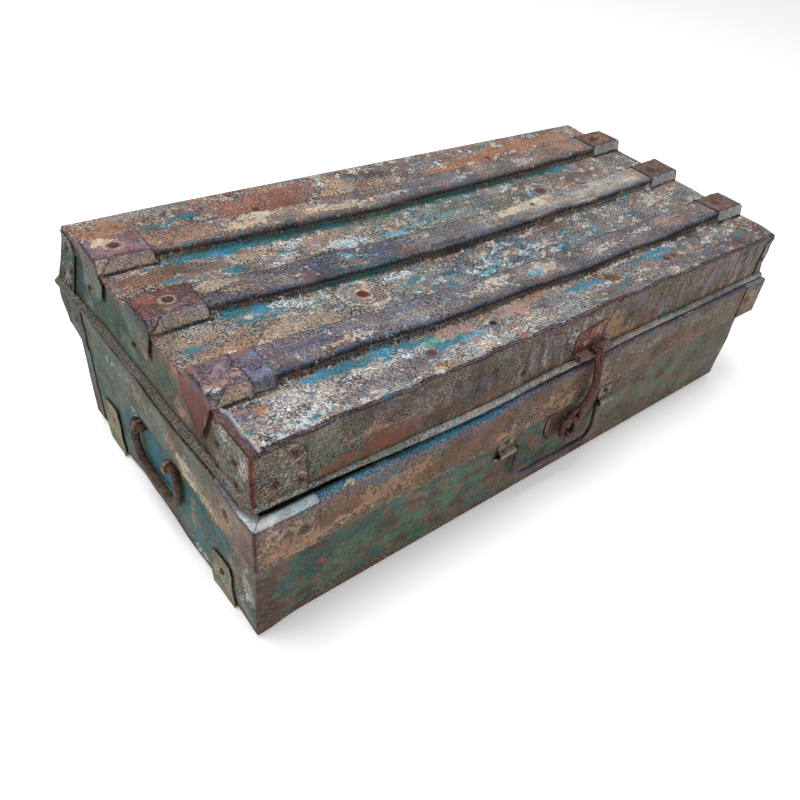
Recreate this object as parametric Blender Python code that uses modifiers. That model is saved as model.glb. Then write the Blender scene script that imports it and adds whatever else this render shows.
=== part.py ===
"""Old painted sheet-metal trunk with a ribbed lid, a riveted rim band and a rod hasp.

Metres, +Z up. The origin is on the floor under the middle of the box, the length runs
along X and the front faces -Y. Widths across the trunk are measured outwards from the
middle, so a distance "out" of the front is -Y and of the back is +Y.
"""

import math

import bmesh
import bpy
from mathutils import Matrix, Vector

MM = 0.001

# Sheets and fits
SHEET = 1.0 * MM  # walls, lid, band and caps
PLATE = 1.2 * MM  # hinge leaves, hasp plate and staple plate
WRAP_SHEET = 0.8 * MM  # corner wraps on the band
GAP = 0.3 * MM  # between pieces that lie on each other
OVERRUN = 4.0 * MM  # how far a drill passes what it cuts

# Base
BODY_LENGTH = 595.6 * MM
BODY_DEPTH = 302.0 * MM
WALL_LEAN = 5.0 * MM
FOOT_DEPTH = BODY_DEPTH - 2 * WALL_LEAN  # the front and back walls lean in to this at the bottom
SKID_DROP = 5.0 * MM
BASE_BOTTOM = SKID_DROP + GAP + SHEET
SKID_PLACE_SHARE = 0.6424
SKID_OFFSET = SKID_PLACE_SHARE * BODY_DEPTH / 2
SKID_FOOT = 34.0 * MM
SKID_CREST = 30.0 * MM
FLANGE = 12.0 * MM  # inner flanges of the end panels
LAP_WIDTH = 17.0 * MM  # strip of the back sheet that laps over each end
UPSTAND_LOW = 122.0 * MM
UPSTAND_HIGH = 156.0 * MM

# Rim band round the base
BAND_PAST_END = 7.2 * MM
BAND_PAST_FRONT = 9.2 * MM
BAND_LENGTH = BODY_LENGTH + 2 * BAND_PAST_END
BAND_DEPTH = BODY_DEPTH + 2 * BAND_PAST_FRONT
BAND_LOW = 104.0 * MM
BAND_HIGH = 143.0 * MM
WALL_HIGH = BAND_HIGH - SHEET - GAP
BAND_CORNER_ALONG = 48.0 * MM
BAND_CORNER_ACROSS = 53.0 * MM
BAND_CORNER_LEDGE = 7.0 * MM

# Lid
LID_PAST_END = 0.8 * MM
LID_PAST_FRONT = 1.0 * MM
LID_LENGTH = BODY_LENGTH + 2 * LID_PAST_END
LID_DEPTH = BODY_DEPTH + 2 * LID_PAST_FRONT
LID_BOTTOM = 144.6 * MM
LID_FLAT = 197.4 * MM
LID_FLANGE_LOW = 160.0 * MM
CURL_HOLLOW = 1.9 * MM  # inner radius of the rolled lower edge
CURL_TURN = math.radians(270)
CURL_STEPS = 9
RIB_HEIGHT = 10.0 * MM
RIB_FOOT = 35.0 * MM
RIB_CREST = 31.0 * MM
RIB_PLACE_SHARE = 0.579
RIB_PLACE = RIB_PLACE_SHARE * LID_DEPTH / 2
RIB_SHIFT = 1.0 * MM
RIB_CENTRES = {"front": -RIB_PLACE, "middle": RIB_SHIFT, "back": RIB_PLACE}
CORNER_CHAMFER = 9.0 * MM
CORNER_HIGH = 193.4 * MM
# The flat between the outer ribs and the lid's edge, and the shares of it that each corner
# plate takes: along the front or back, then along the end
CORNER_ROOM = LID_DEPTH / 2 - RIB_PLACE - RIB_FOOT / 2
LID_CORNER_SHARES = {
    ("front", "left"): (0.82, 1.01),
    ("front", "right"): (0.30, 0.97),
    ("back", "left"): (0.82, 0.69),
    ("back", "right"): (0.82, 0.77),
}

# Caps over the ends of the ribs, and of the skids under the base
CAP_LENGTH = 44.0 * MM
CAP_FLAP = 25.0 * MM
SPLICED_CAP_LENGTH = 29.0 * MM
SPLICE_LENGTH = 15.5 * MM
SKID_CAP_FLAPS = {"front": 37.0 * MM, "back": 44.0 * MM}
FLAP_TAPER = 3.0 * MM

# The worn top has sunk below its edges and its capped ends; it is deepest at these shares of its
# half length between the caps and of the lid's half depth
LID_SAG = 9.5 * MM
SAG_PAST_CAP = 3.0 * MM
SAG_REACH = LID_LENGTH / 2 - CAP_LENGTH - SAG_PAST_CAP
SAG_ALONG_SHARE = -0.12
SAG_ACROSS_SHARE = 0.4
SAG_STEPS = 12

# Fasteners
HEAD_RADIUS = 2.8 * MM
HEAD_HEIGHT = 1.3 * MM
SHANK_RADIUS = 1.5 * MM
TAIL_RADIUS = 2.3 * MM
TAIL_HEIGHT = 0.8 * MM
HEAD_SINK = 0.4 * MM  # how deep a head is sunk into the plate it is one with
HEAD_SIDES = 8
ROUND_SIDES = 16

# Rear hinges
HINGE_PLACE_SHARE = 0.67
HINGE_PLACE = HINGE_PLACE_SHARE * BODY_LENGTH / 2
HINGE_WIDTH = 50.0 * MM
HINGE_KNUCKLE = 18.0 * MM
HINGE_PIN = 2.2 * MM
LID_AXIS_UP = 4.0 * MM
LOWER_LEAF_LOW = 112.0 * MM
UPPER_LEAF_HIGH = 188.0 * MM
ROLL_STEPS = 10
LEAF_SLOPE = math.radians(30)

# Hasp on the lid's front
HASP_PLACE = 14.0 * MM
HASP_PLATE_WIDTH = 42.0 * MM
HASP_PLATE_HIGH = 181.0 * MM
HASP_PIN_UP = 157.0 * MM
HASP_PIN = 2.0 * MM
HASP_ROD = 3.0 * MM
STRAND_GAP = 0.4 * MM
HASP_SPREAD = 9.5 * MM
HASP_LOW = 55.0 * MM
LOOP_STRAIGHT = 13.5 * MM
LOOP_SHOULDER = 14.0 * MM
HASP_PAST_BAND = 0.8 * MM
HASP_HANG_OUT = BAND_DEPTH / 2 + HASP_PAST_BAND + HASP_ROD
HASP_CLEARANCE = 0.5 * MM
HASP_NOTCH_SIDE = 0.7 * MM
STAPLE_UP = 75.0 * MM
STAPLE_ROD = 2.5 * MM
STAPLE_BEND = 5.5 * MM
STAPLE_PAST_HASP = 0.6 * MM
STAPLE_NOSE_OUT = HASP_HANG_OUT + STAPLE_PAST_HASP
STAPLE_INSIDE = 6.0 * MM
STAPLE_PLATE_WIDE = 42.0 * MM
STAPLE_PLATE_HIGH = 49.0 * MM
STAPLE_PLATE_ASIDE = 6.0 * MM
STAPLE_PLATE_UP = 77.5 * MM
LEG_FIT = 0.4 * MM

# Front handle
FRONT_HANDLE_PLACE = 2.5 * MM
FRONT_HANDLE_UP = 73.0 * MM
FRONT_HANDLE_ROD = 2.5 * MM
FRONT_HANDLE_HALF = 52.0 * MM
FRONT_HANDLE_DROP = 38.0 * MM
FRONT_HANDLE_BEND = 9.0 * MM
PINTLE_BEND = 4.0 * MM
BRACKET_WIDTH = 19.0 * MM
BRACKET_TAB_UP = 17.0 * MM
BRACKET_TAB_DOWN = 11.0 * MM
BRACKET_RIVET_UP = 11.0 * MM
BRACKET_ASIDE = 4.5 * MM

# End handles
END_HANDLE_UP = 82.0 * MM
END_HANDLE_ROD = 3.4 * MM
END_HANDLE_HALF = 32.5 * MM
END_HANDLE_DROP = 40.0 * MM
END_HANDLE_BEND = 11.0 * MM
EYE_ROD = 1.5 * MM
EYE_ASIDE = 0.8 * MM
EYE_PLACE = END_HANDLE_HALF - END_HANDLE_ROD - GAP - EYE_ASIDE - EYE_ROD
EYE_INSIDE = 4.0 * MM
PINTLE_PAST_EYE = 5.0 * MM

# Rivet places as shares: along from the corner, then up from the lower edge
CORNER_FACE_SHARES = ((0.74, 0.80), (0.80, 0.26), (0.40, 0.42))
CORNER_END_SHARES = ((0.87, 0.60), (0.43, 0.64), (0.87, 0.14), (0.41, 0.24))
BAND_CORNER_SHARES = ((0.76, 0.55),)
SKID_CAP_RIVET_SHARE = 0.58
CAP_RIVET_SHARE = 0.6
FLAP_RIVET_SHARE = 0.72
HASP_RIVET_SHARES = ((-0.24, 0.21), (0.24, 0.46))
LEAF_RIVET_SHARES = ((-0.36, 0.30), (0.0, 0.62), (0.36, 0.30))

SIDES = {"front": -1, "back": 1}
ENDS = {"left": -1, "right": 1}

# Colours, roughness and metallic value of each finish
FINISHES = {
    "lid_steel": ((0.33, 0.30, 0.28), 0.62, 0.45),
    "base_paint": ((0.10, 0.22, 0.20), 0.60, 0.20),
    "band_paint": ((0.30, 0.20, 0.14), 0.65, 0.25),
    "ledge_paint": ((0.33, 0.46, 0.50), 0.60, 0.20),
    "cap_rust": ((0.25, 0.14, 0.13), 0.65, 0.45),
    "corner_steel": ((0.24, 0.24, 0.20), 0.60, 0.40),
    "rust_plate": ((0.26, 0.09, 0.06), 0.75, 0.25),
    "hasp_rod": ((0.20, 0.09, 0.08), 0.55, 0.50),
    "handle_rod": ((0.11, 0.09, 0.09), 0.55, 0.55),
    "bracket_tan": ((0.42, 0.35, 0.28), 0.65, 0.35),
    "rivet_steel": ((0.20, 0.15, 0.13), 0.60, 0.50),
    "wire_steel": ((0.45, 0.45, 0.43), 0.50, 0.70),
}


def clear_scene():
    for item in list(bpy.data.objects):
        bpy.data.objects.remove(item, do_unlink=True)


def new_collection(name):
    group = bpy.data.collections.new(name)
    bpy.context.scene.collection.children.link(group)
    return group


def make_finishes():
    """One Principled material for each finish."""
    made = {}
    for name, (colour, roughness, metallic) in FINISHES.items():
        finish = bpy.data.materials.new(name)
        finish.use_nodes = True
        shader = finish.node_tree.nodes["Principled BSDF"]
        shader.inputs["Base Color"].default_value = (*colour, 1)
        shader.inputs["Roughness"].default_value = roughness
        shader.inputs["Metallic"].default_value = metallic
        made[name] = finish
    return made


clear_scene()
PARTS = new_collection("trunk")
CUTTERS = new_collection("cutters")
MATERIALS = make_finishes()


def wall_out(up):
    """How far the base's front and back walls stand out at a height: leaning below the band, upright in it."""
    share = min(1, (up - BASE_BOTTOM) / (BAND_LOW - BASE_BOTTOM))
    return (FOOT_DEPTH + share * (BODY_DEPTH - FOOT_DEPTH)) / 2


def corner_widths(face, side):
    """Widths of a lid corner plate along the front or back, and along the end."""
    along, across = LID_CORNER_SHARES[face, side]
    return along * CORNER_ROOM, across * CORNER_ROOM


LEAN = math.atan((BODY_DEPTH - FOOT_DEPTH) / 2 / (BAND_LOW - BASE_BOTTOM))


def front_frame(along, up):
    """The place on the leaning front wall at a height, with local -Y square out of the wall."""
    return Matrix.Translation((along, -wall_out(up), up)) @ Matrix.Rotation(LEAN, 4, "X")


def add_object(name, mesh, finish):
    thing = bpy.data.objects.new(name, mesh)
    mesh.materials.clear()
    mesh.materials.append(MATERIALS[finish])
    PARTS.objects.link(thing)
    return thing


def mesh_from(work, name):
    mesh = bpy.data.meshes.new(name)
    work.to_mesh(mesh)
    work.free()
    return mesh


def add_piece(name, work, finish):
    return add_object(name, mesh_from(work, name), finish)


def add_cutter(work, name):
    cutter = bpy.data.objects.new(name, mesh_from(work, name))
    CUTTERS.objects.link(cutter)
    cutter.hide_render = True
    cutter.display_type = "WIRE"
    return cutter


def thicken(thing, thickness, offset):
    """Turns an open surface into sheet: offset -1 keeps the surface outside, 1 inside, 0 in the middle."""
    wall = thing.modifiers.new("sheet", "SOLIDIFY")
    wall.thickness = thickness
    wall.offset = offset
    wall.use_even_offset = True
    wall.use_quality_normals = True


def combine(thing, other, operation):
    step = thing.modifiers.new(operation.lower(), "BOOLEAN")
    step.operation = operation
    step.object = other
    step.solver = "EXACT"


def face_out(work):
    bmesh.ops.recalc_face_normals(work, faces=work.faces)


def turned_to(direction):
    """The turn that takes +Z to a direction."""
    return Vector((0, 0, 1)).rotation_difference(Vector(direction)).to_matrix().to_4x4()


def add_rods(work, places, radius, low, high, sides, top_radius):
    """Round bodies standing at each (point, direction), from low to high along it."""
    for point, direction in places:
        middle = Matrix.Translation((0, 0, (low + high) / 2))
        bmesh.ops.create_cone(
            work,
            cap_ends=True,
            segments=sides,
            radius1=radius,
            radius2=top_radius,
            depth=high - low,
            matrix=Matrix.Translation(point) @ turned_to(direction) @ middle,
        )


def drill(thing, places, radius, depth):
    """Cuts a round hole of a depth behind each (point, direction)."""
    work = bmesh.new()
    add_rods(work, places, radius, -depth, OVERRUN, ROUND_SIDES, radius)
    combine(thing, add_cutter(work, thing.name + "_drill"), "DIFFERENCE")


def head_rivets(thing, places):
    """Joins set rivet heads to the plate that they hold, sunk a little into its face."""
    work = bmesh.new()
    add_rods(work, places, HEAD_RADIUS, -HEAD_SINK, HEAD_HEIGHT, HEAD_SIDES, HEAD_RADIUS / 2)
    combine(thing, add_cutter(work, thing.name + "_heads"), "UNION")


def add_rivet(name, point, direction, grip):
    """A loose rivet: a domed head on the outside, a shank through the sheets and a flat tail inside."""
    under = GAP / 2
    outline = (
        (0, under + HEAD_HEIGHT),
        (HEAD_RADIUS / 2, under + HEAD_HEIGHT),
        (HEAD_RADIUS, under + HEAD_HEIGHT / 3),
        (HEAD_RADIUS, under),
        (SHANK_RADIUS, under),
        (SHANK_RADIUS, -grip),
        (TAIL_RADIUS, -grip),
        (TAIL_RADIUS, -grip - TAIL_HEIGHT),
        (0, -grip - TAIL_HEIGHT),
    )
    work = bmesh.new()
    corners = [work.verts.new((out, 0, up)) for out, up in outline]
    for first, second in zip(corners, corners[1:]):
        work.edges.new((first, second))
    rivet = add_piece(name, work, "rivet_steel")
    turn = rivet.modifiers.new("turned", "SCREW")
    turn.steps = ROUND_SIDES
    turn.render_steps = ROUND_SIDES
    turn.use_merge_vertices = True
    turn.merge_threshold = MM / 100
    rivet.matrix_world = Matrix.Translation(point) @ turned_to(direction)
    return rivet


def add_tube(name, route, radius, finish, resolution=2):
    """A round rod along a list of points, with closed ends."""
    curve = bpy.data.curves.new(name, "CURVE")
    curve.dimensions = "3D"
    curve.bevel_depth = radius
    curve.bevel_resolution = resolution
    curve.use_fill_caps = True
    spline = curve.splines.new("POLY")
    spline.points.add(len(route) - 1)
    for point, place in zip(spline.points, route):
        point.co = (*place, 1)
    rod = bpy.data.objects.new(name, curve)
    curve.materials.append(MATERIALS[finish])
    PARTS.objects.link(rod)
    return rod


def add_pin(name, start, end, radius, finish):
    """A straight round pin or wire between two points."""
    work = bmesh.new()
    length = (Vector(end) - Vector(start)).length
    add_rods(work, [(start, Vector(end) - Vector(start))], radius, 0, length, ROUND_SIDES, radius)
    return add_piece(name, work, finish)


def arc(centre, radius, start, stop, steps):
    """Points of an arc in a plane, from one angle to another."""
    turns = [start + (stop - start) * step / steps for step in range(steps + 1)]
    return [(centre[0] + radius * math.cos(turn), centre[1] + radius * math.sin(turn)) for turn in turns]


def rounded(corners, bends, steps=4):
    """A path through corner points with each inner corner rounded to its own radius."""
    path = [Vector(corners[0])]
    for before, corner, after, bend in zip(corners, corners[1:], corners[2:], bends):
        back = (Vector(before) - Vector(corner)).normalized()
        on = (Vector(after) - Vector(corner)).normalized()
        half = back.angle(on) / 2
        centre = Vector(corner) + (back + on).normalized() * bend / math.sin(half)
        start = Vector(corner) + back * bend / math.tan(half)
        axis = (start - centre).cross(Vector(corner) - centre).normalized()
        whole = math.pi - 2 * half
        for step in range(steps + 1):
            path.append(centre + Matrix.Rotation(whole * step / steps, 3, axis) @ (start - centre))
    path.append(Vector(corners[-1]))
    return path


def sheet_along(profile, stations):
    """An open surface: a profile of (y, z) points drawn along X through the stations."""
    work = bmesh.new()
    row = [work.verts.new((stations[0], y, z)) for y, z in profile]
    edges = [work.edges.new(pair) for pair in zip(row, row[1:])]
    for before, after in zip(stations, stations[1:]):
        grown = bmesh.ops.extrude_edge_only(work, edges=edges)["geom"]
        moved = [item for item in grown if isinstance(item, bmesh.types.BMVert)]
        edges = [item for item in grown if isinstance(item, bmesh.types.BMEdge)]
        bmesh.ops.translate(work, verts=moved, vec=(after - before, 0, 0))
    return work


def edges_where(work, test):
    return [edge for edge in work.edges if all(test(corner.co) for corner in edge.verts)]


def pull(work, edges, step):
    """Grows faces from edges by one straight step, and returns the new outer edges."""
    grown = bmesh.ops.extrude_edge_only(work, edges=edges)["geom"]
    moved = [item for item in grown if isinstance(item, bmesh.types.BMVert)]
    bmesh.ops.translate(work, verts=moved, vec=step)
    return [item for item in grown if isinstance(item, bmesh.types.BMEdge)]


def roll(work, edges, centre, axis, turn, steps):
    """Grows faces from edges round an axis."""
    bmesh.ops.spin(work, geom=edges, cent=centre, axis=axis, angle=turn, steps=steps)
    bmesh.ops.remove_doubles(work, verts=work.verts, dist=MM / 100)


def near(first, second):
    return abs(first - second) < MM / 10


def rib_profile(centre, flat, height, foot, crest):
    """Four points of a pressed rib, from front to back."""
    return [
        (centre - foot / 2, flat),
        (centre - crest / 2, flat + height),
        (centre + crest / 2, flat + height),
        (centre + foot / 2, flat),
    ]


def make_base_wrap():
    """One sheet folded into the front, the ribbed bottom and the back, with a strip lapped over each end."""
    front = [(-wall_out(up), up) for up in (WALL_HIGH, BAND_LOW, BASE_BOTTOM)]
    profile = list(front)
    for centre in (-SKID_OFFSET, SKID_OFFSET):
        profile += rib_profile(centre, BASE_BOTTOM, -SKID_DROP, SKID_FOOT, SKID_CREST)
    profile += [(-y, z) for y, z in reversed(front)]
    work = sheet_along(profile, (-BODY_LENGTH / 2, BODY_LENGTH / 2))
    for end in ENDS.values():
        rear = edges_where(work, lambda co: near(co.x, end * BODY_LENGTH / 2) and near(co.y, wall_out(co.z)))
        lapped = pull(work, rear, (end * (GAP + SHEET), 0, 0))
        pull(work, lapped, (0, -LAP_WIDTH, 0))
    face_out(work)
    wrap = add_piece("base_wrap", work, "base_paint")
    thicken(wrap, SHEET, -1)
    return wrap


def panel_grid(end_out, across, levels):
    """An upright grid at one end, with its columns and rows at the given places."""
    work = bmesh.new()
    columns, rows = len(across(levels[0])) - 1, len(levels) - 1
    bmesh.ops.create_grid(work, x_segments=columns, y_segments=rows, size=1)
    for corner in work.verts:
        column = round((corner.co.x + 1) * columns / 2)
        row = round((corner.co.y + 1) * rows / 2)
        corner.co = (end_out, across(levels[row])[column], levels[row])
    return work


def make_base_end(side, end):
    """An end panel inside the wrap, with flanges against the bottom, the front and the back."""
    low = BASE_BOTTOM + SHEET + GAP
    flange_high = UPSTAND_LOW - GAP
    levels = (low, BAND_LOW, flange_high, WALL_HIGH)

    def across(up):
        half = wall_out(up) - SHEET - GAP
        return (-half, half)

    work = panel_grid(end * BODY_LENGTH / 2, across, levels)
    sides = edges_where(work, lambda co: co.z < flange_high + GAP)
    rim = [edge for edge in sides if edge.is_boundary]
    pull(work, rim, (-end * FLANGE, 0, 0))
    face_out(work)
    panel = add_piece("base_end_" + side, work, "base_paint")
    thicken(panel, SHEET, -1)
    return panel


def ring(half_long, half_deep, low, high, ledge=None, hem=None):
    """An open rectangular wall, with an inward ledge at its top and an inward hem at its bottom."""
    work = bmesh.new()
    bmesh.ops.create_cube(work, size=1)
    flat = [face for face in work.faces if abs(face.normal.z) > abs(face.normal.x) + abs(face.normal.y)]
    bmesh.ops.delete(work, geom=flat, context="FACES_ONLY")
    for corner in work.verts:
        corner.co.x = math.copysign(half_long, corner.co.x)
        corner.co.y = math.copysign(half_deep, corner.co.y)
        corner.co.z = high if corner.co.z > 0 else low
    for level, inner in ((high, ledge), (low, hem)):
        if inner is None:
            continue
        loop = edges_where(work, lambda co: near(co.z, level))
        for edge in pull(work, loop, (0, 0, 0)):
            for corner in edge.verts:
                corner.co.x = math.copysign(inner[0], corner.co.x)
                corner.co.y = math.copysign(inner[1], corner.co.y)
    face_out(work)
    return work


def make_rim():
    """The band that stands out round the rim, and the upstand inside it that the lid closes over."""
    inside = (BODY_LENGTH / 2 - SHEET, BODY_DEPTH / 2 - SHEET)
    hem = (BODY_LENGTH / 2 + SHEET + 2 * GAP, BODY_DEPTH / 2 + GAP)
    work = ring(BAND_LENGTH / 2, BAND_DEPTH / 2, BAND_LOW, BAND_HIGH, ledge=inside, hem=hem)
    thicken(add_piece("rim_band", work, "band_paint"), SHEET, -1)
    work = ring(inside[0] - GAP, inside[1] - GAP, UPSTAND_LOW, UPSTAND_HIGH)
    thicken(add_piece("rim_upstand", work, "base_paint"), SHEET, -1)


def make_band_corner(face, side):
    """A riveted wrap over one corner of the band: part of the ledge and of both outer faces."""
    deep, end = SIDES[face], ENDS[side]
    half_long, half_deep = BAND_LENGTH / 2 + GAP, BAND_DEPTH / 2 + GAP
    ledge = (half_long - BAND_CORNER_LEDGE, half_deep - BAND_CORNER_LEDGE)
    work = ring(half_long, half_deep, BAND_LOW, BAND_HIGH + GAP, ledge=ledge)
    cuts = (
        ((end * (half_long - BAND_CORNER_ALONG), 0, 0), (-end, 0, 0)),
        ((0, deep * (half_deep - BAND_CORNER_ACROSS), 0), (0, -deep, 0)),
    )
    for point, away in cuts:
        everything = work.verts[:] + work.edges[:] + work.faces[:]
        bmesh.ops.bisect_plane(work, geom=everything, plane_co=point, plane_no=away, clear_outer=True)
    wrap = add_piece(f"band_corner_{face}_{side}", work, "ledge_paint")
    thicken(wrap, WRAP_SHEET, 1)
    rise = BAND_HIGH - BAND_LOW
    places = []
    for along, up in BAND_CORNER_SHARES:
        height = BAND_LOW + up * rise
        front = (end * (half_long - along * BAND_CORNER_ALONG), deep * (half_deep + WRAP_SHEET), height)
        side_on = (end * (half_long + WRAP_SHEET), deep * (half_deep - along * BAND_CORNER_ACROSS), height)
        places += [(front, (0, deep, 0)), (side_on, (end, 0, 0))]
    head_rivets(wrap, places)


def make_saddle(name, end, centre, flat, up, sizes, start, stop, flap, finish):
    """A cap bent over a rib: a crest and two cheeks from start to stop, and an end face drawn on as a flap.

    up is 1 over a rib of the lid and -1 under a skid; sizes are the rib's foot, crest and height.
    """
    foot, crest, height = sizes
    inner, outer = min(start, stop), max(start, stop)
    work = bmesh.new()
    bmesh.ops.create_cube(work, size=1)
    gone = [face for face in work.faces if face.normal.z * up < -0.5]
    gone += [face for face in work.faces if face.normal.x * end < -0.5]
    if not flap:
        gone += [face for face in work.faces if face.normal.x * end > 0.5]
    bmesh.ops.delete(work, geom=gone, context="FACES_ONLY")
    for corner in work.verts:
        high = corner.co.z * up > 0
        corner.co.x = end * (outer if corner.co.x * end > 0 else inner)
        corner.co.y = centre + math.copysign((crest if high else foot) / 2 + GAP, corner.co.y)
        corner.co.z = flat + up * (height + GAP if high else GAP)
    if flap:
        lower = edges_where(work, lambda co: near(co.x, end * outer) and near(co.z, flat + up * GAP))
        for edge in pull(work, lower, (0, 0, -up * flap)):
            for corner in edge.verts:
                corner.co.y = centre + math.copysign(foot / 2 + GAP - FLAP_TAPER, corner.co.y - centre)
    face_out(work)
    saddle = add_piece(name, work, finish)
    thicken(saddle, SHEET, 1)
    return saddle


def make_skid_cap(face, side, panels, wrap_end):
    """A cap over one end of a skid, with a flap up the end panel and the rivet that holds it there."""
    end = ENDS[side]
    centre = SIDES[face] * SKID_OFFSET
    flap = SKID_CAP_FLAPS[face]
    stop = wrap_end + GAP
    cap = make_saddle(
        f"skid_cap_{face}_{side}", end, centre, BASE_BOTTOM, -1,
        (SKID_FOOT, SKID_CREST, SKID_DROP), wrap_end - CAP_LENGTH, stop, flap, "corner_steel",
    )
    up = BASE_BOTTOM + SKID_CAP_RIVET_SHARE * flap
    place = (end * (stop + SHEET), centre, up)
    outward = (end, 0, 0)
    drill(cap, [(place, outward)], SHANK_RADIUS + GAP, SHEET + OVERRUN)
    panels[side].append((place, outward))
    add_rivet(f"skid_rivet_{face}_{side}", place, outward, 2 * SHEET + 2 * GAP)


def make_rib_cap(name, side):
    """A cap over one end of a lid rib; the front left one is short and meets a splice plate."""
    end = ENDS[side]
    centre = RIB_CENTRES[name]
    spliced = (name, side) == ("front", "left")
    length = SPLICED_CAP_LENGTH if spliced else CAP_LENGTH
    outside = LID_LENGTH / 2 + GAP
    sizes = (RIB_FOOT, RIB_CREST, RIB_HEIGHT)
    cap = make_saddle(
        f"rib_cap_{name}_{side}", end, centre, LID_FLAT, 1, sizes,
        outside - length, outside, CAP_FLAP, "cap_rust",
    )
    crest = LID_FLAT + RIB_HEIGHT + GAP + SHEET
    on_top = (end * (outside - CAP_RIVET_SHARE * length), centre, crest)
    on_flap = (end * (outside + SHEET), centre, LID_FLAT - FLAP_RIVET_SHARE * CAP_FLAP)
    head_rivets(cap, [(on_top, (0, 0, 1)), (on_flap, (end, 0, 0))])
    if not spliced:
        return
    stop = outside - length - GAP
    splice = make_saddle(
        "rib_splice_front_left", end, centre, LID_FLAT, 1, sizes,
        stop - SPLICE_LENGTH, stop, 0, "cap_rust",
    )
    head_rivets(splice, [((end * (stop - SPLICE_LENGTH / 2), centre, crest), (0, 0, 1))])


def curl_centre_out(face_out_by):
    return face_out_by + CURL_HOLLOW


CURL_UP = LID_BOTTOM + CURL_HOLLOW + SHEET


def arch(value, reach, place_share):
    """A rounded arch from 0 at either reach to 1 at its place, which is a share of the reach."""
    place = place_share * reach
    side = reach - place if value > place else reach + place
    return math.cos(math.pi / 2 * min(1, abs(value - place) / side))


def sunk(along, across):
    """How far the lid's worn top lies below its edges at a place on it."""
    hollow = arch(along, SAG_REACH, SAG_ALONG_SHARE) * LID_SAG
    return hollow * math.sqrt(arch(across, LID_DEPTH / 2, SAG_ACROSS_SHARE))


def make_lid_wrap():
    """One sheet: the front, the ribbed and sunken top and the back, its lower edges rolled out round a wire."""
    half = LID_DEPTH / 2
    profile = [(-half, CURL_UP), (-half, LID_FLAT)]
    for centre in RIB_CENTRES.values():
        profile += rib_profile(centre, LID_FLAT, RIB_HEIGHT, RIB_FOOT, RIB_CREST)
    profile += [(half, LID_FLAT), (half, CURL_UP)]
    reach = {key: ENDS[key[1]] * (LID_LENGTH / 2 - corner_widths(*key)[0]) for key in LID_CORNER_SHARES}
    sagging = [(2 * step / SAG_STEPS - 1) * SAG_REACH for step in range(SAG_STEPS + 1)]
    stations = sorted({-LID_LENGTH / 2, LID_LENGTH / 2, *reach.values(), *sagging})
    work = sheet_along(profile, stations)
    for corner in work.verts:
        if corner.co.z > LID_FLAT - GAP:
            corner.co.z -= sunk(corner.co.x, corner.co.y)
    for face, deep in SIDES.items():
        low, high = reach[face, "left"] - GAP, reach[face, "right"] + GAP
        edges = edges_where(
            work, lambda co: near(co.z, CURL_UP) and near(co.y, deep * half) and low < co.x < high
        )
        centre = (0, deep * curl_centre_out(half), CURL_UP)
        roll(work, edges, centre, (1, 0, 0), deep * CURL_TURN, CURL_STEPS)
    face_out(work)
    wrap = add_piece("lid_wrap", work, "lid_steel")
    thicken(wrap, SHEET, -1)
    return wrap


def make_lid_end(side, end):
    """A lid end panel, flanged under the top and inside the walls, its lower edge rolled out."""
    half = LID_DEPTH / 2 - SHEET - GAP
    plates = {face: corner_widths(face, side)[1] for face in SIDES}
    columns = (-half, -LID_DEPTH / 2 + plates["front"], LID_DEPTH / 2 - plates["back"], half)
    levels = (CURL_UP, LID_FLANGE_LOW, LID_FLAT - SHEET - GAP)
    outside = end * LID_LENGTH / 2
    work = panel_grid(outside, lambda up: columns, levels)
    upper = edges_where(work, lambda co: co.z > LID_FLANGE_LOW - GAP)
    rim = [edge for edge in upper if edge.is_boundary]
    pull(work, rim, (-end * FLANGE, 0, 0))
    lower = edges_where(
        work,
        lambda co: near(co.z, CURL_UP) and near(co.x, outside) and columns[1] - GAP < co.y < columns[2] + GAP,
    )
    centre = (end * curl_centre_out(LID_LENGTH / 2), 0, CURL_UP)
    roll(work, lower, centre, (0, 1, 0), -end * CURL_TURN, CURL_STEPS)
    face_out(work)
    thicken(add_piece("lid_end_" + side, work, "lid_steel"), SHEET, -1)


def make_lid_wires():
    """A straight wire inside each rolled edge."""
    radius = CURL_HOLLOW - GAP
    for face, deep in SIDES.items():
        out = deep * curl_centre_out(LID_DEPTH / 2)
        start = -LID_LENGTH / 2 + corner_widths(face, "left")[0] + GAP
        stop = LID_LENGTH / 2 - corner_widths(face, "right")[0] - GAP
        add_pin(f"lid_wire_{face}", (start, out, CURL_UP), (stop, out, CURL_UP), radius, "wire_steel")
    for side, end in ENDS.items():
        out = end * curl_centre_out(LID_LENGTH / 2)
        start = -LID_DEPTH / 2 + corner_widths("front", side)[1] + GAP
        stop = LID_DEPTH / 2 - corner_widths("back", side)[1] - GAP
        add_pin(f"lid_wire_{side}", (out, start, CURL_UP), (out, stop, CURL_UP), radius, "wire_steel")


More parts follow.
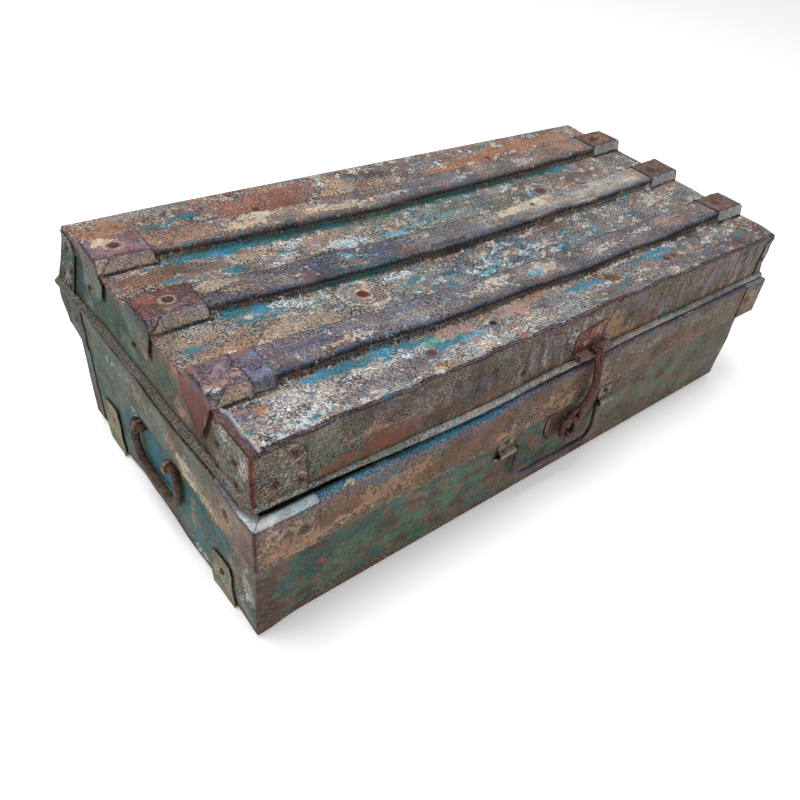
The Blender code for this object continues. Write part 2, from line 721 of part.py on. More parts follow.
def make_lid_corner(face, side):
    """A riveted plate folded round one upright corner of the lid, its upper inner corners cut off."""
    deep, end = SIDES[face], ENDS[side]
    along, across = corner_widths(face, side)
    out_long, out_deep = LID_LENGTH / 2 + GAP, LID_DEPTH / 2 + GAP
    work = bmesh.new()
    bmesh.ops.create_cube(work, size=1)
    gone = [f for f in work.faces if f.normal.x * end < 0.5 and f.normal.y * deep < 0.5]
    bmesh.ops.delete(work, geom=gone, context="FACES_ONLY")
    for corner in work.verts:
        corner.co.x = end * (out_long if corner.co.x * end > 0 else out_long - along)
        corner.co.y = deep * (out_deep if corner.co.y * deep > 0 else out_deep - across)
        corner.co.z = CORNER_HIGH if corner.co.z > 0 else LID_BOTTOM
    chamfer = min(CORNER_CHAMFER, along / 2)
    cuts = (
        ((end * (out_long - along), 0, CORNER_HIGH - chamfer), (-end, 0, 1)),
        ((0, deep * (out_deep - across), CORNER_HIGH - chamfer), (0, -deep, 1)),
    )
    for point, away in cuts:
        everything = work.verts[:] + work.edges[:] + work.faces[:]
        bmesh.ops.bisect_plane(work, geom=everything, plane_co=point, plane_no=away, clear_outer=True)
    face_out(work)
    plate = add_piece(f"lid_corner_{face}_{side}", work, "corner_steel")
    thicken(plate, SHEET, 1)
    rise = CORNER_HIGH - LID_BOTTOM
    places = []
    for share, up in CORNER_FACE_SHARES:
        spot = (end * (out_long - share * along), deep * (out_deep + SHEET), LID_BOTTOM + up * rise)
        places.append((spot, (0, deep, 0)))
    for share, up in CORNER_END_SHARES:
        spot = (end * (out_long + SHEET), deep * (out_deep - share * across), LID_BOTTOM + up * rise)
        places.append((spot, (end, 0, 0)))
    head_rivets(plate, places)


BARREL = HINGE_PIN + GAP + PLATE / 2  # to the middle of the rolled leaf
LID_AXIS_OUT = BAND_DEPTH / 2 + GAP + PLATE / 2 + BARREL
LID_AXIS_HEIGHT = BAND_HIGH + LID_AXIS_UP


def leaf_rivets(leaf, place, plate_out, deep, low, high):
    """Set heads on a hinge leaf."""
    spots = []
    for along, up in LEAF_RIVET_SHARES:
        spot = (place + along * HINGE_WIDTH, deep * (plate_out + PLATE), low + up * (high - low))
        spots.append((spot, (0, deep, 0)))
    head_rivets(leaf, spots)


def hinge_columns(place):
    """The four cuts across a hinge: its edges and the edges of the middle knuckle."""
    half, middle = HINGE_WIDTH / 2, HINGE_KNUCKLE / 2
    return (place - half, place - middle, place + middle, place + half)


def make_lower_leaf(side, place):
    """The leaf on the band, rolled into the two outer knuckles."""
    columns = hinge_columns(place)
    plate_out = BAND_DEPTH / 2 + GAP
    middle_out = plate_out + PLATE / 2
    plate_high = LID_AXIS_HEIGHT - BARREL - PLATE / 2 - 2 * GAP
    columns = (columns[0], columns[1] - GAP, columns[2] + GAP, columns[3])
    work = sheet_along([(middle_out, LOWER_LEAF_LOW), (middle_out, plate_high)], columns)
    edges = edges_where(work, lambda co: near(co.z, plate_high))
    outer = [e for e in edges if abs((e.verts[0].co.x + e.verts[1].co.x) / 2 - place) > HINGE_KNUCKLE / 2]
    upper = pull(work, outer, (0, 0, LID_AXIS_HEIGHT - plate_high))
    centre = (0, LID_AXIS_OUT, LID_AXIS_HEIGHT)
    roll(work, upper, centre, (1, 0, 0), -math.radians(290), ROLL_STEPS)
    face_out(work)
    leaf = add_piece("hinge_lower_" + side, work, "rust_plate")
    thicken(leaf, PLATE, 0)
    leaf_rivets(leaf, place, plate_out, 1, LOWER_LEAF_LOW, plate_high)


def kicked_strip(work, edges, deep, plate_out, low, axis_out, axis_up, barrel, turn):
    """Draws edges out from a plate over a pin and rolls them round it."""
    tangent = math.pi / 2 - LEAF_SLOPE
    land_out = axis_out + barrel * math.cos(tangent)
    land_up = axis_up + barrel * math.sin(tangent)
    outer = pull(work, edges, (0, deep * (land_out - plate_out), land_up - low))
    roll(work, outer, (0, deep * axis_out, axis_up), (1, 0, 0), -deep * turn, ROLL_STEPS)


def kick_low(plate_out, axis_out, axis_up, barrel):
    """The height at which a leaf leaves the wall, so that its strip meets the barrel evenly."""
    tangent = math.pi / 2 - LEAF_SLOPE
    run = axis_out + barrel * math.cos(tangent) - plate_out
    return axis_up + barrel * math.sin(tangent) + run * math.tan(LEAF_SLOPE)


def make_upper_leaf(side, place):
    """The leaf on the lid's back, drawn out over the rolled edge to the middle knuckle."""
    columns = hinge_columns(place)
    columns = (columns[0], columns[1] + GAP, columns[2] - GAP, columns[3])
    plate_out = LID_DEPTH / 2 + GAP
    middle_out = plate_out + PLATE / 2
    low = kick_low(middle_out, LID_AXIS_OUT, LID_AXIS_HEIGHT, BARREL)
    work = sheet_along([(middle_out, UPPER_LEAF_HIGH), (middle_out, low)], columns)
    edges = edges_where(work, lambda co: near(co.z, low) and abs(co.x - place) < HINGE_KNUCKLE / 2)
    kicked_strip(
        work, edges, 1, middle_out, low, LID_AXIS_OUT, LID_AXIS_HEIGHT, BARREL, math.radians(250)
    )
    face_out(work)
    leaf = add_piece("hinge_upper_" + side, work, "rust_plate")
    thicken(leaf, PLATE, 0)
    leaf_rivets(leaf, place, plate_out, 1, low, UPPER_LEAF_HIGH)


def make_hinges():
    for side, end in ENDS.items():
        place = end * HINGE_PLACE
        make_lower_leaf(side, place)
        make_upper_leaf(side, place)
        start = (place - HINGE_WIDTH / 2, LID_AXIS_OUT, LID_AXIS_HEIGHT)
        stop = (place + HINGE_WIDTH / 2, LID_AXIS_OUT, LID_AXIS_HEIGHT)
        add_pin("hinge_pin_" + side, start, stop, HINGE_PIN, "handle_rod")


HASP_CURL = HASP_PIN + GAP + HASP_ROD  # to the middle of the rod that hooks over the pin
HASP_PIN_OUT = LID_DEPTH / 2 + HASP_CLEARANCE + HASP_CURL + HASP_ROD
HASP_BARREL = HASP_PIN + GAP + PLATE / 2
STRAND = HASP_ROD + STRAND_GAP / 2


def make_hasp_plate(lid):
    """The plate on the lid's front, notched in the middle, with a knuckle each side of the hasp."""
    half = HASP_PLATE_WIDTH / 2
    notch = STRAND + HASP_ROD + HASP_NOTCH_SIDE
    columns = tuple(HASP_PLACE + along for along in (-half, -notch, notch, half))
    plate_out = LID_DEPTH / 2 + GAP
    middle_out = plate_out + PLATE / 2
    low = kick_low(middle_out, HASP_PIN_OUT, HASP_PIN_UP, HASP_BARREL)
    notch_high = HASP_PIN_UP + HASP_CURL + HASP_ROD + HASP_CLEARANCE
    levels = sorted((HASP_PLATE_HIGH, max(notch_high, low + GAP), low), reverse=True)
    work = sheet_along([(-middle_out, up) for up in levels], columns)
    hollow = [
        face for face in work.faces
        if abs(face.calc_center_median().x - HASP_PLACE) < notch and face.calc_center_median().z < levels[1]
    ]
    bmesh.ops.delete(work, geom=hollow, context="FACES")
    edges = edges_where(work, lambda co: near(co.z, low))
    kicked_strip(
        work, edges, -1, middle_out, low, HASP_PIN_OUT, HASP_PIN_UP, HASP_BARREL, math.radians(250)
    )
    face_out(work)
    plate = add_piece("hasp_plate", work, "rust_plate")
    thicken(plate, PLATE, 0)
    names = ("left", "right")
    places = []
    for along, up in HASP_RIVET_SHARES:
        height = notch_high + up * (HASP_PLATE_HIGH - notch_high)
        places.append(((HASP_PLACE + along * HASP_PLATE_WIDTH, -plate_out - PLATE, height), (0, -1, 0)))
    drill(plate, places, SHANK_RADIUS + GAP, PLATE + GAP)
    drill(lid, places, SHANK_RADIUS + GAP, PLATE + 2 * GAP + SHEET + OVERRUN)
    for name, (place, outward) in zip(names, places):
        add_rivet("hasp_rivet_" + name, place, outward, PLATE + SHEET + 2 * GAP)
    start = (HASP_PLACE - half, -HASP_PIN_OUT, HASP_PIN_UP)
    stop = (HASP_PLACE + half, -HASP_PIN_OUT, HASP_PIN_UP)
    add_pin("hasp_pin", start, stop, HASP_PIN, "handle_rod")


def hasp_half_route():
    """The right strand from its hooked end over the pin, down to the middle of the loop's foot."""
    hook = arc((HASP_PIN_OUT, HASP_PIN_UP), HASP_CURL, math.radians(200), 0, 10)
    route = [(STRAND, -out, up) for out, up in hook]
    shoulder_low = HASP_LOW + HASP_SPREAD + LOOP_STRAIGHT
    shoulder_high = shoulder_low + LOOP_SHOULDER
    top_out = HASP_PIN_OUT + HASP_CURL
    steps = 4
    for step in range(1, steps + 1):
        share = step / steps
        up = HASP_PIN_UP + share * (BAND_LOW - HASP_PIN_UP)
        route.append((STRAND, -(top_out + share * (HASP_HANG_OUT - top_out)), up))
    for step in range(steps + 1):
        share = step / steps
        spread = (1 - math.cos(math.pi * share)) / 2
        aside = STRAND + spread * (HASP_SPREAD - STRAND)
        route.append((aside, -HASP_HANG_OUT, shoulder_high - share * LOOP_SHOULDER))
    foot = arc((0, HASP_LOW + HASP_SPREAD), HASP_SPREAD, 0, -math.pi / 2, 6)
    route += [(aside, -HASP_HANG_OUT, up) for aside, up in foot]
    return route


def make_hasp():
    """One rod bent double: two strands hooked over the pin, spread into a loop at the foot."""
    half = hasp_half_route()
    whole = half + [(-aside, y, z) for aside, y, z in reversed(half[:-1])]
    route = [(HASP_PLACE + aside, y, z) for aside, y, z in whole]
    return add_tube("hasp", route, HASP_ROD, "hasp_rod")


def make_staple(wrap):
    """The staple through the front wall and the oval plate under it."""
    centre_out = STAPLE_NOSE_OUT - STAPLE_ROD - STAPLE_BEND
    inside = wall_out(STAPLE_UP) - STAPLE_INSIDE
    nose = arc((centre_out, STAPLE_UP), STAPLE_BEND, math.pi / 2, -math.pi / 2, 8)
    legs = [(inside, STAPLE_UP + STAPLE_BEND), *nose, (inside, STAPLE_UP - STAPLE_BEND)]
    add_tube("staple", [(HASP_PLACE, -out, up) for out, up in legs], STAPLE_ROD, "hasp_rod")
    places = []
    for up in (STAPLE_UP + STAPLE_BEND, STAPLE_UP - STAPLE_BEND):
        places.append(((HASP_PLACE, -wall_out(up) - GAP - PLATE, up), (0, -1, 0)))
    work = bmesh.new()
    add_rods(work, [((0, 0, 0), (0, -1, 0))], 1, GAP, GAP + PLATE, 2 * ROUND_SIDES, 1)
    for corner in work.verts:
        corner.co.x *= STAPLE_PLATE_WIDE / 2
        corner.co.z *= STAPLE_PLATE_HIGH / 2
    bmesh.ops.transform(
        work, matrix=front_frame(HASP_PLACE - STAPLE_PLATE_ASIDE, STAPLE_PLATE_UP), verts=work.verts
    )
    plate = add_piece("staple_plate", work, "handle_rod")
    depth = PLATE + 2 * GAP + SHEET + OVERRUN
    drill(plate, places, STAPLE_ROD + LEG_FIT, depth)
    drill(wrap, places, STAPLE_ROD + LEG_FIT, depth)


PINTLE_OUT = 2 * GAP + FRONT_HANDLE_ROD
BRACKET_BEND = FRONT_HANDLE_ROD + GAP + SHEET / 2


def front_pivot():
    """The centre of the front handle's pintles."""
    return front_frame(FRONT_HANDLE_PLACE, FRONT_HANDLE_UP) @ Vector((0, -PINTLE_OUT, 0))


def make_front_handle():
    """A bail with a pintle turned out at each end, hanging from the brackets."""
    pivot = front_pivot()
    reach = FRONT_HANDLE_HALF + BRACKET_ASIDE + BRACKET_WIDTH - PINTLE_BEND
    low = pivot.z - FRONT_HANDLE_DROP
    corners = [
        (pivot.x - reach, pivot.y, pivot.z),
        (pivot.x - FRONT_HANDLE_HALF, pivot.y, pivot.z),
        (pivot.x - FRONT_HANDLE_HALF, pivot.y, low),
        (pivot.x + FRONT_HANDLE_HALF, pivot.y, low),
        (pivot.x + FRONT_HANDLE_HALF, pivot.y, pivot.z),
        (pivot.x + reach, pivot.y, pivot.z),
    ]
    bends = (PINTLE_BEND, FRONT_HANDLE_BEND, FRONT_HANDLE_BEND, PINTLE_BEND)
    return add_tube("front_handle", rounded(corners, bends), FRONT_HANDLE_ROD, "handle_rod")


def make_front_bracket(side, end, wrap):
    """A strap bent over a pintle, with a riveted tab above it and a plain tab below."""
    tab = GAP + SHEET / 2
    bulge = arc((PINTLE_OUT, 0), BRACKET_BEND, math.pi / 2, -math.pi / 2, 8)
    profile = [(tab, BRACKET_TAB_UP), (tab, BRACKET_BEND), *bulge]
    profile += [(tab, -BRACKET_BEND), (tab, -BRACKET_TAB_DOWN)]
    near_edge = FRONT_HANDLE_HALF + BRACKET_ASIDE
    stations = sorted((end * near_edge, end * (near_edge + BRACKET_WIDTH)))
    work = sheet_along([(-out, up) for out, up in profile], stations)
    frame = front_frame(FRONT_HANDLE_PLACE, FRONT_HANDLE_UP)
    bmesh.ops.transform(work, matrix=frame, verts=work.verts)
    face_out(work)
    bracket = add_piece("front_bracket_" + side, work, "bracket_tan")
    thicken(bracket, SHEET, 0)
    middle = end * (near_edge + BRACKET_WIDTH / 2)
    place = frame @ Vector((middle, -GAP - SHEET, BRACKET_RIVET_UP))
    outward = frame.to_3x3() @ Vector((0, -1, 0))
    drill(bracket, [(place, outward)], SHANK_RADIUS + GAP, SHEET + GAP)
    drill(wrap, [(place, outward)], SHANK_RADIUS + GAP, 2 * SHEET + GAP + OVERRUN)
    add_rivet("bracket_rivet_" + side, place, outward, 2 * SHEET + 2 * GAP)


END_PIVOT_OUT = BODY_LENGTH / 2 + 2 * GAP + END_HANDLE_ROD
EYE_BEND = END_HANDLE_ROD + GAP + EYE_ROD


def make_end_handle(side, end, panels):
    """A bail on one end, its hooked ends held in two eyes that pass through the end panel."""
    out = end * END_PIVOT_OUT
    low = END_HANDLE_UP - END_HANDLE_DROP
    tip = EYE_PLACE - PINTLE_PAST_EYE
    corners = [(out, y, z) for y, z in (
        (-tip, END_HANDLE_UP),
        (-END_HANDLE_HALF, END_HANDLE_UP),
        (-END_HANDLE_HALF, low),
        (END_HANDLE_HALF, low),
        (END_HANDLE_HALF, END_HANDLE_UP),
        (tip, END_HANDLE_UP),
    )]
    bends = (END_HANDLE_ROD + GAP, END_HANDLE_BEND, END_HANDLE_BEND, END_HANDLE_ROD + GAP)
    handle = add_tube(side + "_handle", rounded(corners, bends), END_HANDLE_ROD, "handle_rod")
    inside = BODY_LENGTH / 2 - EYE_INSIDE
    for face, deep in SIDES.items():
        nose = arc((END_PIVOT_OUT, END_HANDLE_UP), EYE_BEND, math.pi / 2, -math.pi / 2, 8)
        legs = [(inside, END_HANDLE_UP + EYE_BEND), *nose, (inside, END_HANDLE_UP - EYE_BEND)]
        route = [(end * x, deep * EYE_PLACE, z) for x, z in legs]
        add_tube(f"{side}_eye_{face}", route, EYE_ROD, "bracket_tan")
        for up in (END_HANDLE_UP + EYE_BEND, END_HANDLE_UP - EYE_BEND):
            spot = (end * BODY_LENGTH / 2, deep * EYE_PLACE, up)
            panels[side + "_eyes"].append((spot, (end, 0, 0)))
    return handle


def hang_on(names, axis_name, place):
    """Parents pieces to an empty on their joint's axis, where they stand."""
    empty = bpy.data.objects.new(axis_name, None)
    PARTS.objects.link(empty)
    empty.location = place
    inverse = Matrix.Translation(place).inverted()
    for name in names:
        thing = bpy.data.objects[name]
        thing.parent = empty
        thing.matrix_parent_inverse = inverse
    return empty


def build():
    wrap = make_base_wrap()
    base_ends = {side: make_base_end(side, end) for side, end in ENDS.items()}
    make_rim()
    drilled = {key: [] for side in ENDS for key in (side, side + "_eyes")}
    lapped_end = BODY_LENGTH / 2
    corners = [(face, side) for face in SIDES for side in ENDS]
    for face, side in corners:
        make_band_corner(face, side)
        make_skid_cap(face, side, drilled, lapped_end)
    lid = make_lid_wrap()
    for side, end in ENDS.items():
        make_lid_end(side, end)
        for name in RIB_CENTRES:
            make_rib_cap(name, side)
    for face, side in corners:
        make_lid_corner(face, side)
    make_lid_wires()
    make_hinges()
    make_hasp_plate(lid)
    make_hasp()
    make_staple(wrap)
    make_front_handle()
    for side, end in ENDS.items():
        make_front_bracket(side, end, wrap)
        make_end_handle(side, end, drilled)
        through = 2 * SHEET + GAP + OVERRUN
        drill(base_ends[side], drilled[side], SHANK_RADIUS + GAP, through)
        drill(base_ends[side], drilled[side + "_eyes"], EYE_ROD + LEG_FIT, through)
    lid_names = [
        item.name for item in PARTS.objects
        if item.name.startswith(("lid_", "rib_", "hinge_upper", "hasp_plate", "hasp_rivet", "hasp_pin"))
    ]
    hinge = hang_on(lid_names, "lid_axis", (0, LID_AXIS_OUT, LID_AXIS_HEIGHT))
    hasp_axis = hang_on(["hasp"], "hasp_axis", (HASP_PLACE, -HASP_PIN_OUT, HASP_PIN_UP))
    hasp_axis.parent = hinge
    hasp_axis.matrix_parent_inverse = Matrix.Translation(hinge.location).inverted()
    hang_on(["front_handle"], "front_handle_axis", front_pivot())
    for side, end in ENDS.items():
        hang_on([side + "_handle"], side + "_handle_axis", (end * END_PIVOT_OUT, 0, END_HANDLE_UP))


build()
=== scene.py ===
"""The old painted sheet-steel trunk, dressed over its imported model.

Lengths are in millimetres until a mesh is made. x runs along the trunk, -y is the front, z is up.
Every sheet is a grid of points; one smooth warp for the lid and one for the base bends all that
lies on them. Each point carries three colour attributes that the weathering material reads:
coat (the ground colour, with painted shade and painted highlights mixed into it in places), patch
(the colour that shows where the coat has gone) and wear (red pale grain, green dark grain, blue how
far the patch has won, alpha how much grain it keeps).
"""

import math
from functools import partial

import bpy
import numpy as np
from mathutils import Matrix, Vector


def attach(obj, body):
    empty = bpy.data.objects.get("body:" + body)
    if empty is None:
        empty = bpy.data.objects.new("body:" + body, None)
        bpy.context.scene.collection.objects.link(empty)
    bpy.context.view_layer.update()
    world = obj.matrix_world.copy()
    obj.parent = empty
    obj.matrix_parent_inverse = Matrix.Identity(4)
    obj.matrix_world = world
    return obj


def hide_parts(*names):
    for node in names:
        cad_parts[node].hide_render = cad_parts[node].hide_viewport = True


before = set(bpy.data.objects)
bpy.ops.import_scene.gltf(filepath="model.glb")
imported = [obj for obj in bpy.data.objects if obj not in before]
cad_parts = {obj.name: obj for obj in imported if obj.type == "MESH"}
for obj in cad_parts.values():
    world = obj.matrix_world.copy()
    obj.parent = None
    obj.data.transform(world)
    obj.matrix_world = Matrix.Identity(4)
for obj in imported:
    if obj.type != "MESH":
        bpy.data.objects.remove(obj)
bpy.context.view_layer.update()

MM = 0.001
SHEET = 0.8

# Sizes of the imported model, as its pieces stand
LID_HALF, LID_DEEP, LID_LOW, LID_FLAT, CREST = 298.6, 152.0, 147.5, 197.4, 207.4
RIBS = {"front": -88.0, "middle": 1.0, "back": 88.0}
FOOT, TOP = 17.5, 15.5
BASE_HALF, BASE_DEEP, BASE_LOW, BAND_LOW, BAND_HIGH = 297.8, 151.0, 6.3, 104.0, 143.0
BASE_NARROW, WALL_TOP = 146.0, 141.0
BAND_HALF, BAND_DEEP = 305.0, 160.2
SKIDS = {"front": -97.0, "back": 97.0}
SIDES = {"front": -1, "back": 1}
ENDS = {"left": -1, "right": 1}

# Paint and rust, as they read in the picture (sRGB, 0 to 255); dark, black and fold also serve as painted
# shade, edge and crest as painted highlights
INK = {
    "pale": (184, 178, 168), "cream": (198, 186, 162), "beige": (164, 148, 130), "white": (178, 190, 194),
    "tan": (154, 122, 100), "orange": (156, 112, 84), "pink": (162, 134, 122), "brown": (108, 84, 70),
    "rust": (116, 74, 56), "redrust": (136, 92, 78), "red": (98, 46, 38), "maroon": (94, 66, 66),
    "steel": (106, 102, 112), "dim": (74, 72, 76), "dark": (44, 40, 38), "black": (14, 12, 12),
    "teal": (32, 94, 98), "turq": (34, 118, 136), "blue": (46, 132, 170), "sky": (78, 176, 206),
    "green": (62, 110, 86), "olive": (98, 98, 78), "sage": (96, 112, 100), "edge": (84, 94, 120),
    "purple": (88, 76, 86), "ledge": (150, 168, 172), "mint": (94, 160, 146), "mauve": (116, 98, 104),
    "deep": (36, 110, 142), "grey": (128, 128, 124), "umber": (84, 64, 50), "foot": (86, 82, 68),
    "crest": (78, 78, 90), "fold": (72, 60, 72), "rim": (58, 44, 52), "hem": (106, 94, 106),
    "lapped": (78, 100, 92), "slate": (84, 104, 118), "pine": (50, 84, 80), "moss": (80, 100, 76),
    "lagoon": (44, 112, 124), "ochre": (150, 120, 86),
}


def linear(colour):
    """An sRGB colour (0 to 255) made linear: its power of 2.2, times the studio's share of each channel."""
    return (np.asarray(colour, float) / 255) ** 2.2 * (0.77, 0.745, 0.73)


INKS = {name: linear(colour) for name, colour in INK.items()}

# How much of the grain shows on a patch; 0.45 where a colour isn't named
KEEP = {"white": 1.0, "pale": 0.9, "grey": 0.9, "steel": 0.8, "beige": 0.8, "cream": 0.7, "teal": 0.3,
        "turq": 0.35, "blue": 0.4, "lagoon": 0.3}


# Noise and curves
def waves(points, size, seed, count=16):
    """Smooth noise of about -1 to 1: cosines of random directions, phases and lengths near a size, added."""
    rng = np.random.default_rng(seed)
    ways = rng.normal(size=(count, 3))
    ways /= np.linalg.norm(ways, axis=1)[:, None]
    ways *= (2 * np.pi / size * rng.uniform(0.6, 1.5, count))[:, None]
    total = np.cos(points @ ways.T + rng.uniform(0, 2 * np.pi, count)).sum(1)
    return total / math.sqrt(count / 2) * 0.62


def rough(points, size, seed, steps=3):
    """Noise with finer noise on it: each step has half the size and 0.6 of the strength of the one before."""
    return sum(waves(points, size / 2 ** step, seed + 31 * step) * 0.6 ** step for step in range(steps))


def ease(value, low, high):
    """0 below low, 1 above high, and the curve 3t^2 - 2t^3 between."""
    t = np.clip((value - low) / (high - low), 0, 1)
    return t * t * (3 - 2 * t)


def stripe(value, half, soft=0.7):
    """1 while a value is within half of zero, easing to 0 over the soft width beyond."""
    return 1 - ease(np.abs(value), half, half + soft)


def bump_at(points, centre, reach):
    """A round swell that is 1 at a centre and falls as exp(-d^2), with d in units of the reach (x, y, z)."""
    return np.exp(-(((points - centre) / reach) ** 2).sum(1))


def bent_path(corners, radius, step):
    """Straight runs cut into equal steps, joined by parabolas that start a radius before each corner."""
    corners = [np.asarray(corner, float) for corner in corners]
    path = [corners[0]]

    def run(stop):
        start = path[-1]
        count = max(1, int(round(np.linalg.norm(stop - start) / step)))
        path.extend(start + (stop - start) * share for share in np.arange(1, count + 1) / count)

    for before, corner, after in zip(corners, corners[1:], corners[2:]):
        back, ahead = before - corner, after - corner
        back = back / np.linalg.norm(back) * min(radius, np.linalg.norm(back) * 0.45)
        ahead = ahead / np.linalg.norm(ahead) * min(radius, np.linalg.norm(ahead) * 0.45)
        run(corner + back)
        for t in (0.25, 0.5, 0.75, 1.0):
            path.append(corner + back * (1 - t) ** 2 + ahead * t ** 2)
    run(corners[-1])
    return np.array(path)


def profile_normals(path):
    """Unit normals of a flat path: its tangent (a central difference) turned a quarter turn to the left."""
    tangent = np.gradient(path, axis=0)
    tangent /= np.linalg.norm(tangent, axis=1)[:, None]
    return np.stack([-tangent[:, 1], tangent[:, 0]], axis=1)


# Warps
def front_bow(along):
    """How far the front's rim stands out along the trunk: 3.4 mm at the left, easing to -1.6 at the right."""
    return 3.4 - 5.0 * ease(along, -110, 60) + 0.8 * np.sin(along / 23.0) * np.exp(-((along + 20) / 160) ** 2)


def hermite(t, rows, slopes, i, span=1.0):
    """A cubic Hermite span from row i to the next: t runs from 0 to 1, and span turns slopes into steps."""
    return ((2 * t ** 3 - 3 * t ** 2 + 1) * rows[i] + (t ** 3 - 2 * t ** 2 + t) * span * slopes[i]
            + (3 * t ** 2 - 2 * t ** 3) * rows[i + 1] + (t ** 3 - t ** 2) * span * slopes[i + 1])


def spline_rows(knots, table):
    """A function of x that reads each column of a table between its knots, as cubic Hermite spans."""
    knots, table = np.asarray(knots, float), np.asarray(table, float)
    slopes = np.gradient(table, knots, axis=0)

    def read(value):
        value = np.clip(value, knots[0], knots[-1])
        i = np.clip(np.searchsorted(knots, value, "right") - 1, 0, len(knots) - 2)
        span = (knots[i + 1] - knots[i])[:, None]
        return hermite((value - knots[i])[:, None] / span, table, slopes, i, span)
    return read


# How far the worn lid has sunk below its rim, in mm: rows along the trunk, then three places across it
SAG = spline_rows((-299, -240, -200, -170, -110, -50, 10, 70, 130, 190, 250, 299), (
    (0, 0, 0), (0.3, 1.6, 3.2), (1.2, 3.0, 5.0), (2.0, 4.3, 6.3), (4.2, 6.6, 8.2), (6.2, 8.8, 10.0),
    (6.6, 8.4, 9.2),
    (6.2, 7.2, 8.0), (5.0, 5.6, 6.2), (2.9, 4.0, 4.0), (0.6, 1.4, 1.6), (0, 0, 0)))


def sag(x, y):
    """The lid's hollow: the three rows read along x, eased across y from the front fold to the back one."""
    rows = SAG(x)
    front = np.interp(y, (-152, -124, -94), (0, 0.55, 1)) * rows[:, 0]
    first = rows[:, 0] + (rows[:, 1] - rows[:, 0]) * ease(y, -94, 1)
    second = rows[:, 1] + (rows[:, 2] - rows[:, 1]) * ease(y, 1, 80)
    back = rows[:, 2] * (1 - np.clip((y - 92) / 60, 0, 1) ** 1.5)
    return np.where(y < -94, front, np.where(y < 1, first, np.where(y < 92, second, back)))


def lid_warp(points):
    """Bends the lid's pieces: a sunken top, a crumpled front fold, a bowed rim and a lifted corner."""
    x, y, z = points.T
    moved = points.copy()
    moved[:, 2] -= sag(x, y) * ease(z, 180, 194)
    back = 1 - ease(y, 130, 150)
    low = 1 - ease(z, LID_LOW, LID_FLAT)
    front = 1 - ease(y, -150, -60)
    moved[:, 2] += back * (0.9 * waves(points, 110, 3) + 0.45 * waves(points, 34, 4)) * ease(z, 170, 197)
    fold = np.exp(-((y + LID_DEEP) ** 2 + (z - LID_FLAT) ** 2) / 9.0 ** 2)
    crumple = 0.9 * waves(points * (1, 0.2, 0.2), 46, 5) + 0.6 * waves(points * (1, 0.2, 0.2), 17, 6)
    moved[:, 2] += fold * crumple
    moved[:, 1] -= fold * (0.7 * waves(points * (1, 0.2, 0.2), 30, 7))
    face = np.exp(-((y + LID_DEEP) / 6.0) ** 2) * ease(z, LID_LOW, 160) * (1 - ease(z, 185, 197))
    moved[:, 1] -= face * (0.9 * waves(points, 60, 8) + 0.4 * waves(points, 22, 9))
    moved[:, 1] -= front * low * (front_bow(x) * 0.75)
    lift = np.exp(-(((x + 300) / 110) ** 2 + ((y + 155) / 80) ** 2))
    moved[:, 2] += 5.0 * lift * low
    moved[:, 0] += np.sign(x) * ease(np.abs(x), 270, 298) * low ** 2 * 1.4
    moved[:, 0] += np.sign(x) * ease(np.abs(x), 292, 298) * 0.6 * waves(points, 46, 10) * ease(197 - z, 0, 14)
    splay = np.exp(-(((x + 300) / 60) ** 2 + ((y - 152) / 60) ** 2)) * (2.2 - 5.4 * low ** 1.3)
    moved[:, 0] += splay
    moved[:, 1] -= splay * 0.8
    return moved


def base_warp(points):
    """Bends the base's pieces: a bowed front rim, shallow dents, a crushed corner and a torn foot."""
    x, y, z = points.T
    moved = points.copy()
    front = 1 - ease(y, -150, -70)
    moved[:, 1] -= front * ease(z, 60, 110) * front_bow(x)
    wall = np.exp(-((np.abs(y) - BASE_DEEP) / 9) ** 2) * (y < 0)
    wall *= ease(z, 6, 25) * (1 - 0.7 * ease(z, 90, 104))
    moved[:, 1] -= wall * (1.0 * waves(points, 95, 12) + 0.4 * waves(points, 33, 13))
    flank = ease(np.abs(x), 285, 297) * np.sign(x) * (1 - ease(np.abs(y), 142, 151))
    moved[:, 0] += flank * (0.7 * waves(points, 80, 14) + 0.3 * waves(points, 26, 15))
    crush = bump_at(points, (-305, 160, 102), (30, 34, 22)) * ease(z, 98, 104)
    tip = bump_at(points, (-305, 160, 145), (30, 26, 12))
    moved += crush[:, None] * (2.5, -5.0, 1.5) + tip[:, None] * (1.0, -2.0, -1.8)
    rim = ease(z, 100, 108)
    moved[:, 2] += rim * 0.6 * waves(points * (1, 1, 0), 60, 16)
    lip = (1 - ease(x, -294, -262)) * front * (1 - ease(z, 6, 30))
    moved[:, 2] -= 3.4 * lip
    moved[:, 1] -= 0.8 * lip
    return moved


# Paint
BARE = (0.1, 0.1, 0.1)  # what a chip shows where no patch is laid


